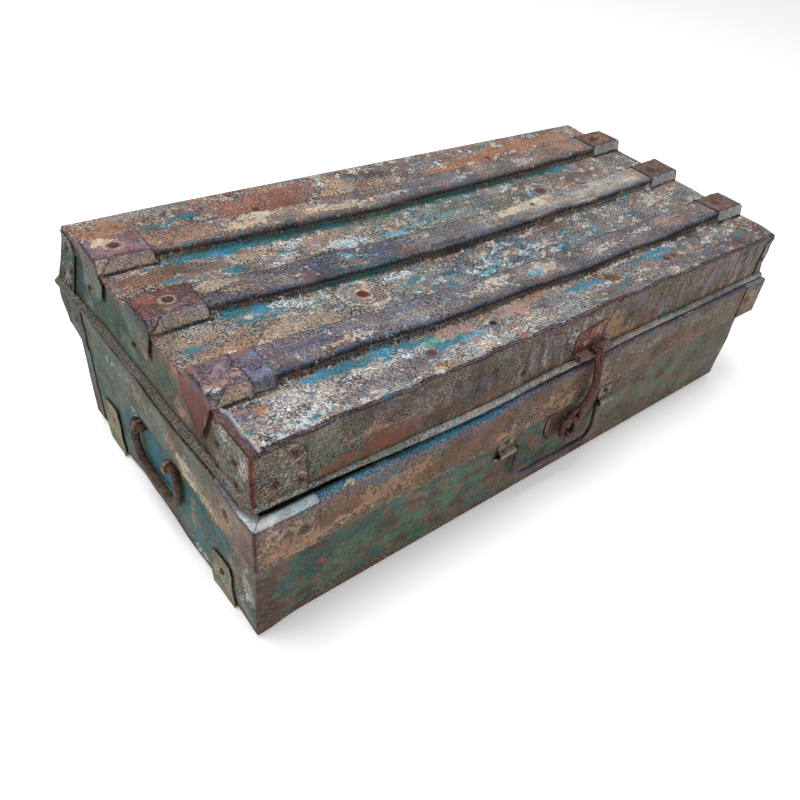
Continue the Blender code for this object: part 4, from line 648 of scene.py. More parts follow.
def paint_lid_end(points):
    """An end wall of the lid; the right end repeats the left one's kinds of patches in other places."""
    x, y, z = points.T
    left = x.mean() < 0
    blobs, seed = (LID_END_BLOBS, 110) if left else (mirrored(LID_END_BLOBS, 17), 120)
    paint = paint_wall(points, y, z, END_STOPS, blobs, seed, 0.10, "olive", 0.5)
    paint.tint(ease(z, 194, 196) * 0.7, "rust")
    # Painted shade in the crease above the bead.
    paint.tint(np.exp(-((z - 150.8) / 1.5) ** 2) * 0.6, "dark")
    far_back = (1 - 0.42 * ease(y, 92, 110))[:, None]
    paint.coat *= far_back
    paint.patch *= far_back
    # The slits before the flaps are painted black: painted shade in the gaps.
    for name, centre in RIBS.items():
        heights, places = GAPS[name if left else "middle"]
        gap = np.interp(z, heights, places)
        share = stripe(y - centre + gap, 0.8 + 1.2 * ease(z, 186, 196), 0.7)
        share *= ease(z, heights[0], heights[0] + 4)
        if left and name == "back":
            share = np.maximum(share, stripe(z - 196.4, 1.3, 0.6) * stripe(y - centre + 22.5, 4.5, 1))
        paint.tint(share, "black")
        for amount in (paint.mask, paint.pale):
            amount *= 1 - share
    return paint


def paint_base_end(points):
    """An end wall of the base, teal with tan streaks and a brown foot."""
    x, y, z = points.T
    stops = ((-150, (116, 114, 102)), (-90, (82, 102, 94)), (60, (74, 104, 98)), (150, (82, 100, 88)))
    blobs, seed = (BASE_END_BLOBS, 130) if x.mean() < 0 else (mirrored(BASE_END_BLOBS, -12), 140)
    paint = paint_wall(points, y, z, stops, blobs, seed, 0.10, "sage", 0.5)
    paint.tint(1 - ease(z, 7, 12), "umber")
    # Painted shade under the rim band.
    paint.tint(np.exp(-((z - 102.5) / 2.0) ** 2) * 0.7, "dark")
    return paint


def paint_base(points):
    """The base's wrap: front, bottom and back."""
    x, y, z = points.T
    stops = ((-290, (84, 88, 78)), (-120, (86, 84, 72)), (0, (92, 80, 70)), (290, (92, 90, 80)))
    front = paint_wall(points, x, z, stops, BASE_FRONT_BLOBS, 150, 0.10, "olive", 0.7, 2.6)
    front.coat *= 1.1
    left = 1 - 0.6 * ease(x, -60, 60)
    for seed, ink, low, strength in (
            (151, "pine", 0.2, 0.85), (152, "green", 0.5, 0.85), (153, "brown", 0.5, 0.9),
            (154, "umber", 0.6, 0.9), (155, "moss", 0.5, 0.8)):
        share = left if ink in ("pine", "green") else 1.0
        front.lay(ease(rough(points * (0.7, 1, 1), 20, seed), low, low + 0.5) * strength * share, ink)
    front.spots(x, z, ((-104, 64, 3.0, "umber"), (121, 57, 3.0, "rust"), (86, 60, 2.5, "umber")))
    foot = 1 - ease(z + 3 * waves(points, 40, 160), 8, 22)
    front.tint(foot * 0.8, "umber")
    front.mask *= 1 - foot * 0.7
    # Painted shade under the rim band.
    front.tint(np.exp(-((z - 102.5) / 2.2) ** 2) * 0.75, "dark")
    front.tint((1 - ease(np.abs(x + BASE_HALF), 1.0, 2.5)) * 0.8, "red")
    front.tint((1 - ease(x + BASE_HALF - 3 * waves(points, 30, 161), 5, 14)) * 0.6, "maroon")
    back = paint_wall(points, x, z, ((-290, (86, 98, 90)), (0, (90, 84, 74)), (290, (88, 94, 84))),
                      mirrored(BASE_FRONT_BLOBS, 31), 170, 0.12)
    bottom = paint_wall(points, x, y, ((-290, (92, 76, 64)), (290, (88, 78, 70))), (
        (-150, 40, 70, 30, "rust", 0.7), (60, -60, 80, 26, "umber", 0.7), (190, 80, 50, 24, "teal", 0.6),
        (-60, 120, 60, 16, "sage", 0.6)), 190, 0.05)
    return blend_paint(front, ((y > 0, back), ((z < BASE_LOW + 0.6) & (np.abs(y) < 145), bottom)))


def paint_band(points):
    """The rim band: tan and mauve faces, teal-grey ends and a pale blue ledge."""
    x, y, z = points.T
    stops = ((-300, (112, 96, 78)), (-200, (106, 90, 72)), (-100, (98, 84, 74)), (60, (96, 86, 68)),
             (290, (104, 98, 82)))
    front = paint_wall(points, x, z, stops, BAND_FRONT_BLOBS, 210, 0.12, "olive", 0.56, 1.8)
    front.coat *= (1.06, 0.98, 0.86)
    low = 1 - ease(z + 2 * waves(points, 16, 211), 105, 110)
    front.tint(low * 0.4, "purple")
    front.pale += low * 0.25
    top_edge = np.exp(-((z - 141.0) / 2.0) ** 2)
    front.tint(ease(z + 1.5 * waves(points, 30, 212), 134, 139) * (0.75 - 0.45 * ease(x, -110, -50)), "hem")
    front.mask *= 1 - ease(z, 134, 139) * 0.7
    back = paint_wall(points, x, z, stops, mirrored(BAND_FRONT_BLOBS, -22), 220, 0.12)
    end = paint_wall(points, y, z, BAND_END_STOPS, BAND_END_BLOBS, 230, 0.10, "olive", 0.45)
    end.tint(top_edge * 0.5, "brown")
    ledge = Paint(points, INKS["ledge"])
    ledge.coat[:] = gradient(x + 20 * waves(points, 70, 240),
                             ((-300, (72, 128, 150)), (-200, (66, 126, 150)), (-110, (44, 112, 144)),
                              (-40, (72, 94, 108)), (60, (88, 88, 88)), (290, (112, 118, 122))))
    side = np.abs(x) > 299
    ledge.coat[side] = gradient(y[side], ((-160, (104, 100, 100)), (-100, (78, 76, 68)), (160, (78, 84, 72))))
    ledge.coat *= (1 + 0.18 * rough(points * np.where(side, 0.3, 1)[:, None], 22, 241))[:, None]
    ledge.blobs(x, y, (
        (-236, -157, 8, 1.5, "cream", 0.9), (-206, -158, 12, 1.6, "steel", 0.8),
        (-150, -157, 40, 2.0, "turq", 0.7),
        (-90, -156, 30, 1.6, "deep", 0.8), (-30, -156, 30, 1.8, "dim", 0.5), (110, -155, 40, 2, "grey", 0.6),
        (200, -156, 60, 2, "white", 0.5)), 242)
    inner = np.minimum(BAND_DEEP - np.abs(y), BAND_HALF - np.abs(x))
    # Painted shade on the inner part of the ledge, under the lid.
    ledge.tint(ease(inner, 8.5, 10.5) * 0.8, "dark")
    outer = BAND_DEEP - np.abs(y) - 1.2 - 2.6 * ease(x, -110, -60) + 0.5 * waves(points, 30, 244)
    ledge.tint((1 - ease(outer, 0, 1.0)) * ~side * 0.85, "hem")
    ledge.pale[:] = np.where(side, 0.2, 0.34)
    ledge.dark[:] = np.where(side, 0.3, 0.32)
    line = np.abs(x) - 303.2 - 0.5 * waves(points * (0, 0.3, 0), 20, 243)
    ledge.tint(side * stripe(line, 0.4, 0.5) * 0.6, "black")
    on_ledge = z > BAND_HIGH - 0.8
    on_end = (np.abs(x) > BAND_HALF - 1.4) & ~on_ledge
    on_back = (y > BAND_DEEP - 2.5) & ~on_ledge & ~on_end
    return blend_paint(front, ((on_back, back), (on_end, end), (on_ledge, ledge)))


def grained(points, colour, pale, dark, grain, size, seed):
    """A paint of one coat, darkened and lightened by grain times noise of a size."""
    paint = Paint(points, colour, pale, dark)
    paint.coat *= (1 + grain * rough(points, size, seed))[:, None]
    return paint


def plain(colour, pale, dark, seed, grain=0.2, edge=None):
    """A function that paints a small piece in one grained sRGB colour; edge may darken a part of it."""
    def lay(points):
        paint = grained(points, linear(colour), pale, dark, grain, 14, seed)
        if edge:
            edge(paint)
        return paint
    return lay


# Materials
def put(tree, kind, **values):
    """Adds a node and sets its attributes."""
    node = tree.nodes.new(kind)
    for name, value in values.items():
        setattr(node, name, value)
    return node


def math_node(tree, operation, first, second, clamp=False):
    """A math node of two inputs, each a socket or a number."""
    node = put(tree, "ShaderNodeMath", operation=operation, use_clamp=clamp)
    for slot, value in enumerate((first, second)):
        if isinstance(value, (int, float)):
            node.inputs[slot].default_value = value
        else:
            tree.links.new(value, node.inputs[slot])
    return node.outputs[0]


def noise_node(tree, vector, scale, detail, roughness, shift=0.0):
    """A noise texture whose place is shifted, so that two of them don't match."""
    moved = put(tree, "ShaderNodeVectorMath", operation="ADD")
    tree.links.new(vector, moved.inputs[0])
    moved.inputs[1].default_value = (shift, shift * 0.7, -shift * 1.3)
    node = put(tree, "ShaderNodeTexNoise")
    tree.links.new(moved.outputs[0], node.inputs["Vector"])
    node.inputs["Scale"].default_value = scale
    node.inputs["Detail"].default_value = detail
    node.inputs["Roughness"].default_value = roughness
    return node.outputs["Fac"]


def step_node(tree, value, low, width):
    """Eases from 0 to 1 as a value goes from low to low plus width; low is a socket or a number."""
    node = put(tree, "ShaderNodeMapRange", interpolation_type="SMOOTHSTEP")
    tree.links.new(value, node.inputs["Value"])
    if isinstance(low, (int, float)):
        node.inputs["From Min"].default_value = low
        node.inputs["From Max"].default_value = low + width
    else:
        tree.links.new(low, node.inputs["From Min"])
        tree.links.new(math_node(tree, "ADD", low, width), node.inputs["From Max"])
    return node.outputs["Result"]


def mix_node(tree, share, first, second, kind="MIX"):
    """Mixes two colours, each a socket or an RGB triple."""
    node = put(tree, "ShaderNodeMix", data_type="RGBA", blend_type=kind)
    if isinstance(share, (int, float)):
        node.inputs[0].default_value = share
    else:
        tree.links.new(share, node.inputs[0])
    for slot, value in ((6, first), (7, second)):
        if isinstance(value, tuple):
            node.inputs[slot].default_value = (*value, 1)
        else:
            tree.links.new(value, node.inputs[slot])
    return node.outputs[2]


def weathering_group():
    """The shared effect: the patch flakes through the coat, grain lies over both, gloss and height follow.

    The patch shows where its mask plus noise passes about a half. Two fine noises, each stretched to nearly
    black and white, are added as 0.68 and 0.32 to make the grain. Above a half it mixes the colour towards a
    paler one, below towards a near black one, as far as Pale, Dark and the patch's Keep allow. Tone follows
    the flakes and a slow noise, and hue a third one.
    """
    group = bpy.data.node_groups.new("weathering", "ShaderNodeTree")
    for way, kind, names in (("INPUT", "Vector", ["Vector"]), ("INPUT", "Color", ["Coat", "Patch"]),
                             ("INPUT", "Float", ["Pale", "Dark", "Mask", "Keep"]),
                             ("OUTPUT", "Color", ["Color"]), ("OUTPUT", "Float", ["Gloss", "Height"])):
        for name in names:
            group.interface.new_socket(name, in_out=way, socket_type="NodeSocket" + kind)
    source, sink = put(group, "NodeGroupInput"), put(group, "NodeGroupOutput")
    add, less, times, most = (partial(math_node, group, kind)
                              for kind in ("ADD", "SUBTRACT", "MULTIPLY", "MAXIMUM"))
    where = source.outputs["Vector"]
    fine = step_node(group, noise_node(group, where, 640, 2, 0.6), 0.42, 0.16)
    dust = step_node(group, noise_node(group, where, 1060, 1, 0.5, 3.1), 0.42, 0.16)
    flake = noise_node(group, where, 230, 5, 0.75, 7.3)
    slow = noise_node(group, where, 40, 5, 0.6, 1.7)
    grain = add(times(fine, 0.68), times(dust, 0.32))
    edge = times(less(flake, 0.5), 2.9)
    edge = add(edge, less(slow, 0.5))
    edge = add(edge, times(less(grain, 0.5), 0.22))
    chip = step_node(group, add(edge, source.outputs["Mask"]), 0.42, 0.18)
    shown = less(1.0, times(chip, less(1.0, source.outputs["Keep"])))
    chip = times(chip, add(0.78, times(grain, 0.2)))
    base = mix_node(group, chip, source.outputs["Coat"], source.outputs["Patch"])
    hue = step_node(group, noise_node(group, where, 105, 4, 0.7, 11.9), 0.40, 0.20)
    base = mix_node(group, 1.0, base, mix_node(group, hue, (1.14, 0.98, 0.86), (0.90, 1.0, 1.10)), "MULTIPLY")
    slow_tone = step_node(group, slow, 0.3, 0.4)
    tone = add(add(0.86, times(slow_tone, 0.28)), times(less(flake, 0.5), 1.1))
    scaled = put(group, "ShaderNodeVectorMath", operation="SCALE")
    group.links.new(base, scaled.inputs[0])
    group.links.new(most(tone, 0.3), scaled.inputs["Scale"])
    swing = less(times(grain, 2.0), 1.0)
    rise, fall = most(swing, 0.0), most(times(swing, -1.0), 0.0)
    pale = times(rise, times(source.outputs["Pale"], shown))
    dark = times(fall, times(source.outputs["Dark"], times(shown, 1.6)), True)
    bright = put(group, "ShaderNodeVectorMath", operation="MULTIPLY_ADD")
    group.links.new(scaled.outputs[0], bright.inputs[0])
    bright.inputs[1].default_value, bright.inputs[2].default_value = (1.3, 1.3, 1.3), (0.26, 0.245, 0.225)
    deep = put(group, "ShaderNodeVectorMath", operation="SCALE")
    group.links.new(scaled.outputs[0], deep.inputs[0])
    deep.inputs["Scale"].default_value = 0.12
    colour = mix_node(group, pale, scaled.outputs[0], bright.outputs[0])
    group.links.new(mix_node(group, dark, colour, deep.outputs[0]), sink.inputs["Color"])
    gloss = less(0.74, times(slow_tone, 0.22))
    group.links.new(add(gloss, times(pale, 0.12)), sink.inputs["Gloss"])
    height = less(add(times(grain, 0.5), times(flake, 0.8)), times(chip, 0.35))
    group.links.new(add(height, slow), sink.inputs["Height"])
    return group


WEATHERING = weathering_group()


def weathered(name, coat=None, patch=None, pale=0.3, dark=0.3, mask=0.3, metallic=0.0, bump=0.5):
    """A material over the weathering group, with the painted attributes or, if given a coat, fixed inks."""
    material = bpy.data.materials.new(name)
    material.use_nodes = True
    tree = material.node_tree
    shader = tree.nodes["Principled BSDF"]
    effect = put(tree, "ShaderNodeGroup", node_tree=WEATHERING)
    place = put(tree, "ShaderNodeTexCoord")
    tree.links.new(place.outputs["Object"], effect.inputs["Vector"])
    if coat is None:
        for attribute, socket in (("coat", "Coat"), ("patch", "Patch")):
            node = put(tree, "ShaderNodeAttribute", attribute_name=attribute)
            tree.links.new(node.outputs["Color"], effect.inputs[socket])
        wear = put(tree, "ShaderNodeAttribute", attribute_name="wear")
        parts = put(tree, "ShaderNodeSeparateColor")
        tree.links.new(wear.outputs["Color"], parts.inputs[0])
        for channel, socket in (("Red", "Pale"), ("Green", "Dark"), ("Blue", "Mask")):
            tree.links.new(parts.outputs[channel], effect.inputs[socket])
        tree.links.new(wear.outputs["Alpha"], effect.inputs["Keep"])
    else:
        effect.inputs["Coat"].default_value = (*INKS[coat], 1)
        effect.inputs["Patch"].default_value = (*INKS[patch], 1)
        for socket, value in (("Pale", pale), ("Dark", dark), ("Mask", mask), ("Keep", 0.8)):
            effect.inputs[socket].default_value = value
    tree.links.new(effect.outputs["Color"], shader.inputs["Base Color"])
    tree.links.new(effect.outputs["Gloss"], shader.inputs["Roughness"])
    shader.inputs["Metallic"].default_value = metallic
    shader.inputs["Specular IOR Level"].default_value = 0.14
    relief = put(tree, "ShaderNodeBump")
    relief.inputs["Strength"].default_value = bump
    relief.inputs["Distance"].default_value = 0.0006
    tree.links.new(effect.outputs["Height"], relief.inputs["Height"])
    tree.links.new(relief.outputs["Normal"], shader.inputs["Normal"])
    return material


SKIN = weathered("weathered_paint")
IRON = weathered("rusty_iron", "maroon", "rust", 0.22, 0.45, 0.35, 0.25)
SHADOWED = weathered("shadowed_steel", "dim", "sage", 0.2, 0.4, 0.35, 0.2)
HINGES = weathered("old_hinge", "brown", "teal", 0.25, 0.4, 0.4, 0.25)
EYES = weathered("eye_wire", "brown", "tan", 0.2, 0.3, 0.5, 0.2)
INSIDE = weathered("bare_inside", "olive", "rust", 0.18, 0.36, 0.42, 0.15)


# Meshes
def grid_faces(rows, columns, first, around, flip):
    """Corner numbers of a grid's quads; around joins the last column to the first."""
    last = columns if around else columns - 1
    a = (np.arange(rows - 1)[:, None] * columns + np.arange(last)[None, :])
    b = (np.arange(rows - 1)[:, None] * columns + (np.arange(last)[None, :] + 1) % columns)
    quads = np.stack([a, b, b + columns, a + columns], axis=-1).reshape(-1, 4) + first
    return quads[:, ::-1] if flip else quads


def add_mesh(name, points, faces, paint, body, nodes, thickness=0.0):
    """Makes the object of one piece: points in mm, faces as a list of corner arrays, colours from the paint.

    A thickness is given inwards, and the inner side is bare.
    """
    mesh = bpy.data.meshes.new(name)
    sizes = np.concatenate([np.full(len(block), block.shape[1]) for block in faces])
    loops = np.concatenate([block.ravel() for block in faces])
    mesh.vertices.add(len(points))
    mesh.loops.add(len(loops))
    mesh.polygons.add(len(sizes))
    mesh.vertices.foreach_set("co", (points * MM).astype(np.float32).ravel())
    mesh.loops.foreach_set("vertex_index", loops.astype(np.int32))
    mesh.polygons.foreach_set("loop_start", np.concatenate([[0], np.cumsum(sizes)[:-1]]).astype(np.int32))
    mesh.polygons.foreach_set("use_smooth", np.ones(len(sizes), bool))
    mesh.update(calc_edges=True)
    mesh.validate()
    wear = [np.clip(values, 0, 1) for values in (paint.pale, paint.dark, paint.mask)]
    ones = np.ones(len(points))
    for title, values in (("coat", [np.clip(paint.coat, 0.004, 0.9), ones]),
                          ("patch", [np.clip(paint.patch, 0.004, 0.9), ones]), ("wear", [*wear, paint.keep])):
        layer = mesh.color_attributes.new(title, "FLOAT_COLOR", "POINT")
        layer.data.foreach_set("color", np.column_stack(values).astype(np.float32).ravel())
    thing = bpy.data.objects.new(name, mesh)
    bpy.context.scene.collection.objects.link(thing)
    mesh.materials.append(SKIN)
    if thickness:
        mesh.materials.append(INSIDE)
        wall = thing.modifiers.new("sheet", "SOLIDIFY")
        wall.thickness = thickness * MM
        wall.offset = -1
        wall.material_offset = 1
    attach(thing, body)
    if nodes:
        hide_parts(*nodes)


def joined(grids):
    """Several grids as one piece, each as (points, columns joined, faces turned, ends closed)."""
    blocks, faces, first = [], [], 0
    for points, around, flip, closed in grids:
        rows, columns = points.shape[:2]
        faces.append(grid_faces(rows, columns, first, around, flip))
        if closed:
            for start, turned in ((first, not flip), (first + (rows - 1) * columns, flip)):
                faces.append(np.arange(start, start + columns)[None, ::-1 if turned else 1])
        blocks.append(points.reshape(-1, 3))
        first += rows * columns
    return np.concatenate(blocks), faces


def add_sheets(name, grids, paint_with, warp, body, nodes, thickness=SHEET):
    """One piece from several grids, each (points, outward direction at its middle[, around])."""
    parts = []
    for points, outward, *around in grids:
        r, c = (points.shape[0] - 1) // 2, (points.shape[1] - 1) // 2
        normal = np.cross(points[r, c + 1] - points[r, c], points[r + 1, c] - points[r, c])
        parts.append((points, bool(around), normal @ np.asarray(outward, float) < 0, False))
    flat, faces = joined(parts)
    add_mesh(name, warp(flat), faces, paint_with(flat), body, nodes, thickness)


def tube_points(path, radius, sides):
    """Rings of points round a path, in frames carried along by the smallest turn, with small end rings."""
    path = np.asarray(path, float)
    radius = np.broadcast_to(np.asarray(radius, float), len(path)).copy()
    tangent = np.gradient(path, axis=0)
    tangent /= np.linalg.norm(tangent, axis=1)[:, None]
    start, stop = path[0], path[-1]
    path = np.concatenate([[start - tangent[0] * radius[0] * share for share in (0.45, 0.25)], path,
                           [stop + tangent[-1] * radius[-1] * share for share in (0.25, 0.45)]])
    radius = np.concatenate([radius[0] * np.array([0.25, 0.8]), radius, radius[-1] * np.array([0.8, 0.25])])
    tangent = np.concatenate([[tangent[0]] * 2, tangent, [tangent[-1]] * 2])
    side = np.cross(tangent[0], (0.3, 0.5, 0.81))
    side /= np.linalg.norm(side)
    rings = []
    turn = np.linspace(0, 2 * np.pi, sides, endpoint=False)
    for point, way, size in zip(path, tangent, radius):
        side = side - way * (side @ way)
        side /= np.linalg.norm(side)
        other = np.cross(way, side)
        rings.append(point + size * (np.cos(turn)[:, None] * side + np.sin(turn)[:, None] * other))
    return np.array(rings)


def add_tubes(name, tubes, paint_with, warp, body, nodes, dent, seed):
    """One piece from several tubes, each (path, radius, sides), closed at both ends and dented by noise."""
    flat, faces = joined([(tube_points(*tube), True, True, True) for tube in tubes])
    flat = flat + dent * np.stack([rough(flat, 9, seed + step) for step in range(3)], axis=1)
    add_mesh(name, warp(flat) if warp else flat, faces, paint_with(flat), body, nodes)


def dome(centre, outward, radius, height, rings=4, sides=12):
    """A round head: rings of a squashed half ball standing on a face, closed by a small ring at its pole."""
    outward = np.asarray(outward, float)
    side = np.cross(outward, (0.31, 0.52, 0.79))
    side /= np.linalg.norm(side)
    other = np.cross(outward, side)
    angle = np.linspace(0, np.pi / 2 * 0.97, rings + 1)
    turn = np.linspace(0, 2 * np.pi, sides, endpoint=False)
    ring = np.cos(turn)[:, None] * side + np.sin(turn)[:, None] * other
    rows = [np.asarray(centre) + radius * math.cos(a) * ring + height * math.sin(a) * outward for a in angle]
    rows.insert(0, np.asarray(centre) + radius * ring - 0.9 * outward)
    return np.array(rows)


def add_rivets(name, rivets, paint_with, warp, body, nodes=()):
    """Rivet heads, each (centre, outward, radius, height), as closed low domes in one piece."""
    flat, faces = joined([(dome(*rivet), True, False, True) for rivet in rivets])
    add_mesh(name, warp(flat), faces, paint_with(flat), body, nodes)


def drawn_along(profile, stations, side=1):
    """A flat profile drawn along x: at each station (x, inset) it moves back along its normals."""
    normals = side * profile_normals(profile)
    columns = [np.column_stack([np.full(len(profile), x), profile - normals * inset])
               for x, inset in stations]
    return np.stack(columns, axis=1)


def upright(x, across, rows):
    """A grid of points from x, y and the heights of its rows, each spread over the whole grid."""
    shape = np.broadcast_shapes(np.shape(x), np.shape(across), rows[:, None].shape)
    return np.stack([np.broadcast_to(values, shape) for values in (x, across, rows[:, None])], axis=-1)


def ruled(profile, xs):
    """A profile at each x, without insets."""
    return drawn_along(profile, [(x, 0.0) for x in xs])


def ridge(centre, foot, low, top, high):
    """The four corners of a rib's section: its feet at a lower height, its edges at an upper one."""
    return [(centre - foot, low), (centre - top, high), (centre + top, high), (centre + foot, low)]


# Lid
def make_lid_shell():
    """The lid's wrap: its profile with three ribs, drawn along x in four strips that meet on the crests.

    Both ends of each strip are turned in by 2 mm.
    """
    profile = [(-LID_DEEP, LID_LOW), (-LID_DEEP, LID_FLAT)]
    strips = []
    for centre in RIBS.values():
        profile += [(centre - FOOT, LID_FLAT), (centre - TOP, CREST), (centre, CREST)]
        strips.append(profile)
        profile = [(centre, CREST), (centre + TOP, CREST), (centre + FOOT, LID_FLAT)]
    strips.append(profile + [(LID_DEEP, LID_FLAT), (LID_DEEP, LID_LOW)])
    stations = [(-LID_HALF - 0.2, 2.2), (-LID_HALF - 0.2, 1.0), (-LID_HALF, 0.3)]
    stations += [(x, 0.0) for x in np.linspace(-LID_HALF + 0.9, LID_HALF - 0.9, 350)]
    stations += [(LID_HALF, 0.3), (LID_HALF + 0.2, 1.0), (LID_HALF + 0.2, 2.2)]
    for name, corners in zip(("front", "front_gutter", "back_gutter", "back"), strips):
        points = drawn_along(bent_path(corners, 2.2, 1.2), stations)
        add_sheets("lid_shell_" + name, [(points, (0, 0, 1))], paint_lid, lid_warp, "lid", ["lid_wrap"])


def make_lid_ends():
    """Both end walls of the lid, a flat grid each."""
    for side, end in ENDS.items():
        rows = np.linspace(LID_LOW, LID_FLAT - 0.6, 34)
        columns = np.linspace(-LID_DEEP + 0.8, LID_DEEP - 0.8, 190)
        points = upright(end * (LID_HALF - 0.2), columns, rows)
        add_sheets("lid_end_panel_" + side, [(points, (end, 0, 0))], paint_lid_end, lid_warp, "lid",
                   ["lid_end_" + side])


def paint_bead(points):
    """The rolled lower edge: a bright crown, partly a painted highlight, and a dark blue underside of painted
    shade.
    """
    x, y, z = points.T
    paint = Paint(points, BARE, 0.6, 0.3)
    # The coat is lighter along the front's middle, partly as a painted highlight.
    paint.coat[:] = gradient(x + 20 * waves(points, 60, 401),
                             ((-300, (112, 112, 104)), (-220, (116, 120, 116)), (-100, (142, 148, 148)),
                              (60, (136, 136, 128)), (290, (118, 124, 122))))
    side = np.abs(x) > 299
    paint.coat[side] = gradient(y[side], ((-150, (116, 112, 104)), (-60, (104, 96, 86)), (150, (98, 98, 86))))
    paint.coat *= (1 + 0.22 * rough(points * np.where(side[:, None], (1, 0.3, 2.2), 1), 26, 402))[:, None]
    paint.pale[side], paint.dark[side] = 0.28, 0.35
    paint.tint(side * stripe(z - LID_LOW - 1.6, 0.5, 0.6) * 0.5, "dark")
    # Painted shade on the underside of the roll.
    under = 1 - ease(z, LID_LOW - 2.2, LID_LOW - 0.2)
    paint.tint(under * 0.85, "fold")
    paint.blobs(x, z, (
        (-196, 148, 20, 3, "sage", 0.7), (-40, 148, 30, 3, "brown", 0.6), (150, 150, 30, 1.5, "green", 0.6),
        (60, 150, 16, 2, "orange", 0.6), (230, 148, 40, 3, "edge", 0.6)), 403)
    return paint


def make_beads():
    """The lid's rolled lower edge: a tube along each side."""
    along = np.linspace(-299, 299, 160)
    thin = 2.1 + 0.9 * ease(along, -260, -150)
    front = np.column_stack([along, -LID_DEEP + 1.4 - thin, np.full(160, LID_LOW)])
    back = front * (1, -1, 1)
    left = np.column_stack([np.full(90, -LID_HALF - 1.7), np.linspace(-151, 151, 90), np.full(90, LID_LOW)])
    right = left * (-1, 1, 1)
    for side, path in (("front", front), ("back", back), ("left", left), ("right", right)):
        radius = thin if side == "front" else 3.1
        add_tubes("lid_bead_" + side, [(path, radius, 14)], paint_bead, lid_warp, "lid", ["lid_wire_" + side],
                  0.18, 410)


CAPS = {
    # ground colour and length, then patches, rings and spots at (along from the end, across)
    ("back", "left"): ("mauve", 44, (
        (12, 8, 9, 5, "cream", 0.8), (30, -12, 16, 3, "maroon", 0.7), (34, 8, 9, 8, "brown", 0.6)),
        ((20, 1, 7.0, 1.3, "beige", 0.9),), ((20, 1, 4.4, "maroon"),)),
    ("middle", "left"): ("maroon", 44, (
        (16, -6, 12, 5, "olive", 0.6), (10, 6, 9, 7, "redrust", 0.7), (36, -6, 7, 8, "steel", 0.5),
        (24, -10, 14, 3, "grey", 0.6)),
        ((23, 1, 5.2, 1.2, "beige", 0.9), (23, 1, 8, 1.2, "brown", 0.6)), ((23, 1, 3.4, "dark"),)),
    ("front", "left"): ("hem", 29, (
        (12, -9, 14, 4, "pink", 0.75), (22, -4, 8, 5, "beige", 0.5), (5, 13, 18, 3, "redrust", 0.7),
        (4, -13, 8, 4, "white", 0.5)),
        (), ()),
    ("back", "right"): ("brown", 44, (
        (24, 0, 20, 12, "tan", 0.6),), ((28, 0, 5, 1.4, "dark", 0.8),), ((28, 0, 3.4, "maroon"),)),
    ("middle", "right"): ("brown", 44, (
        (20, 4, 20, 8, "mauve", 0.6),), ((28, 0, 5, 1.4, "dark", 0.8),), ((28, 0, 3.4, "maroon"),)),
    ("front", "right"): ("brown", 44, (
        (24, -2, 22, 9, "mauve", 0.6),), ((28, 0, 5.5, 1.4, "dim", 0.8),), ((28, 0, 3.6, "maroon"),)),
}


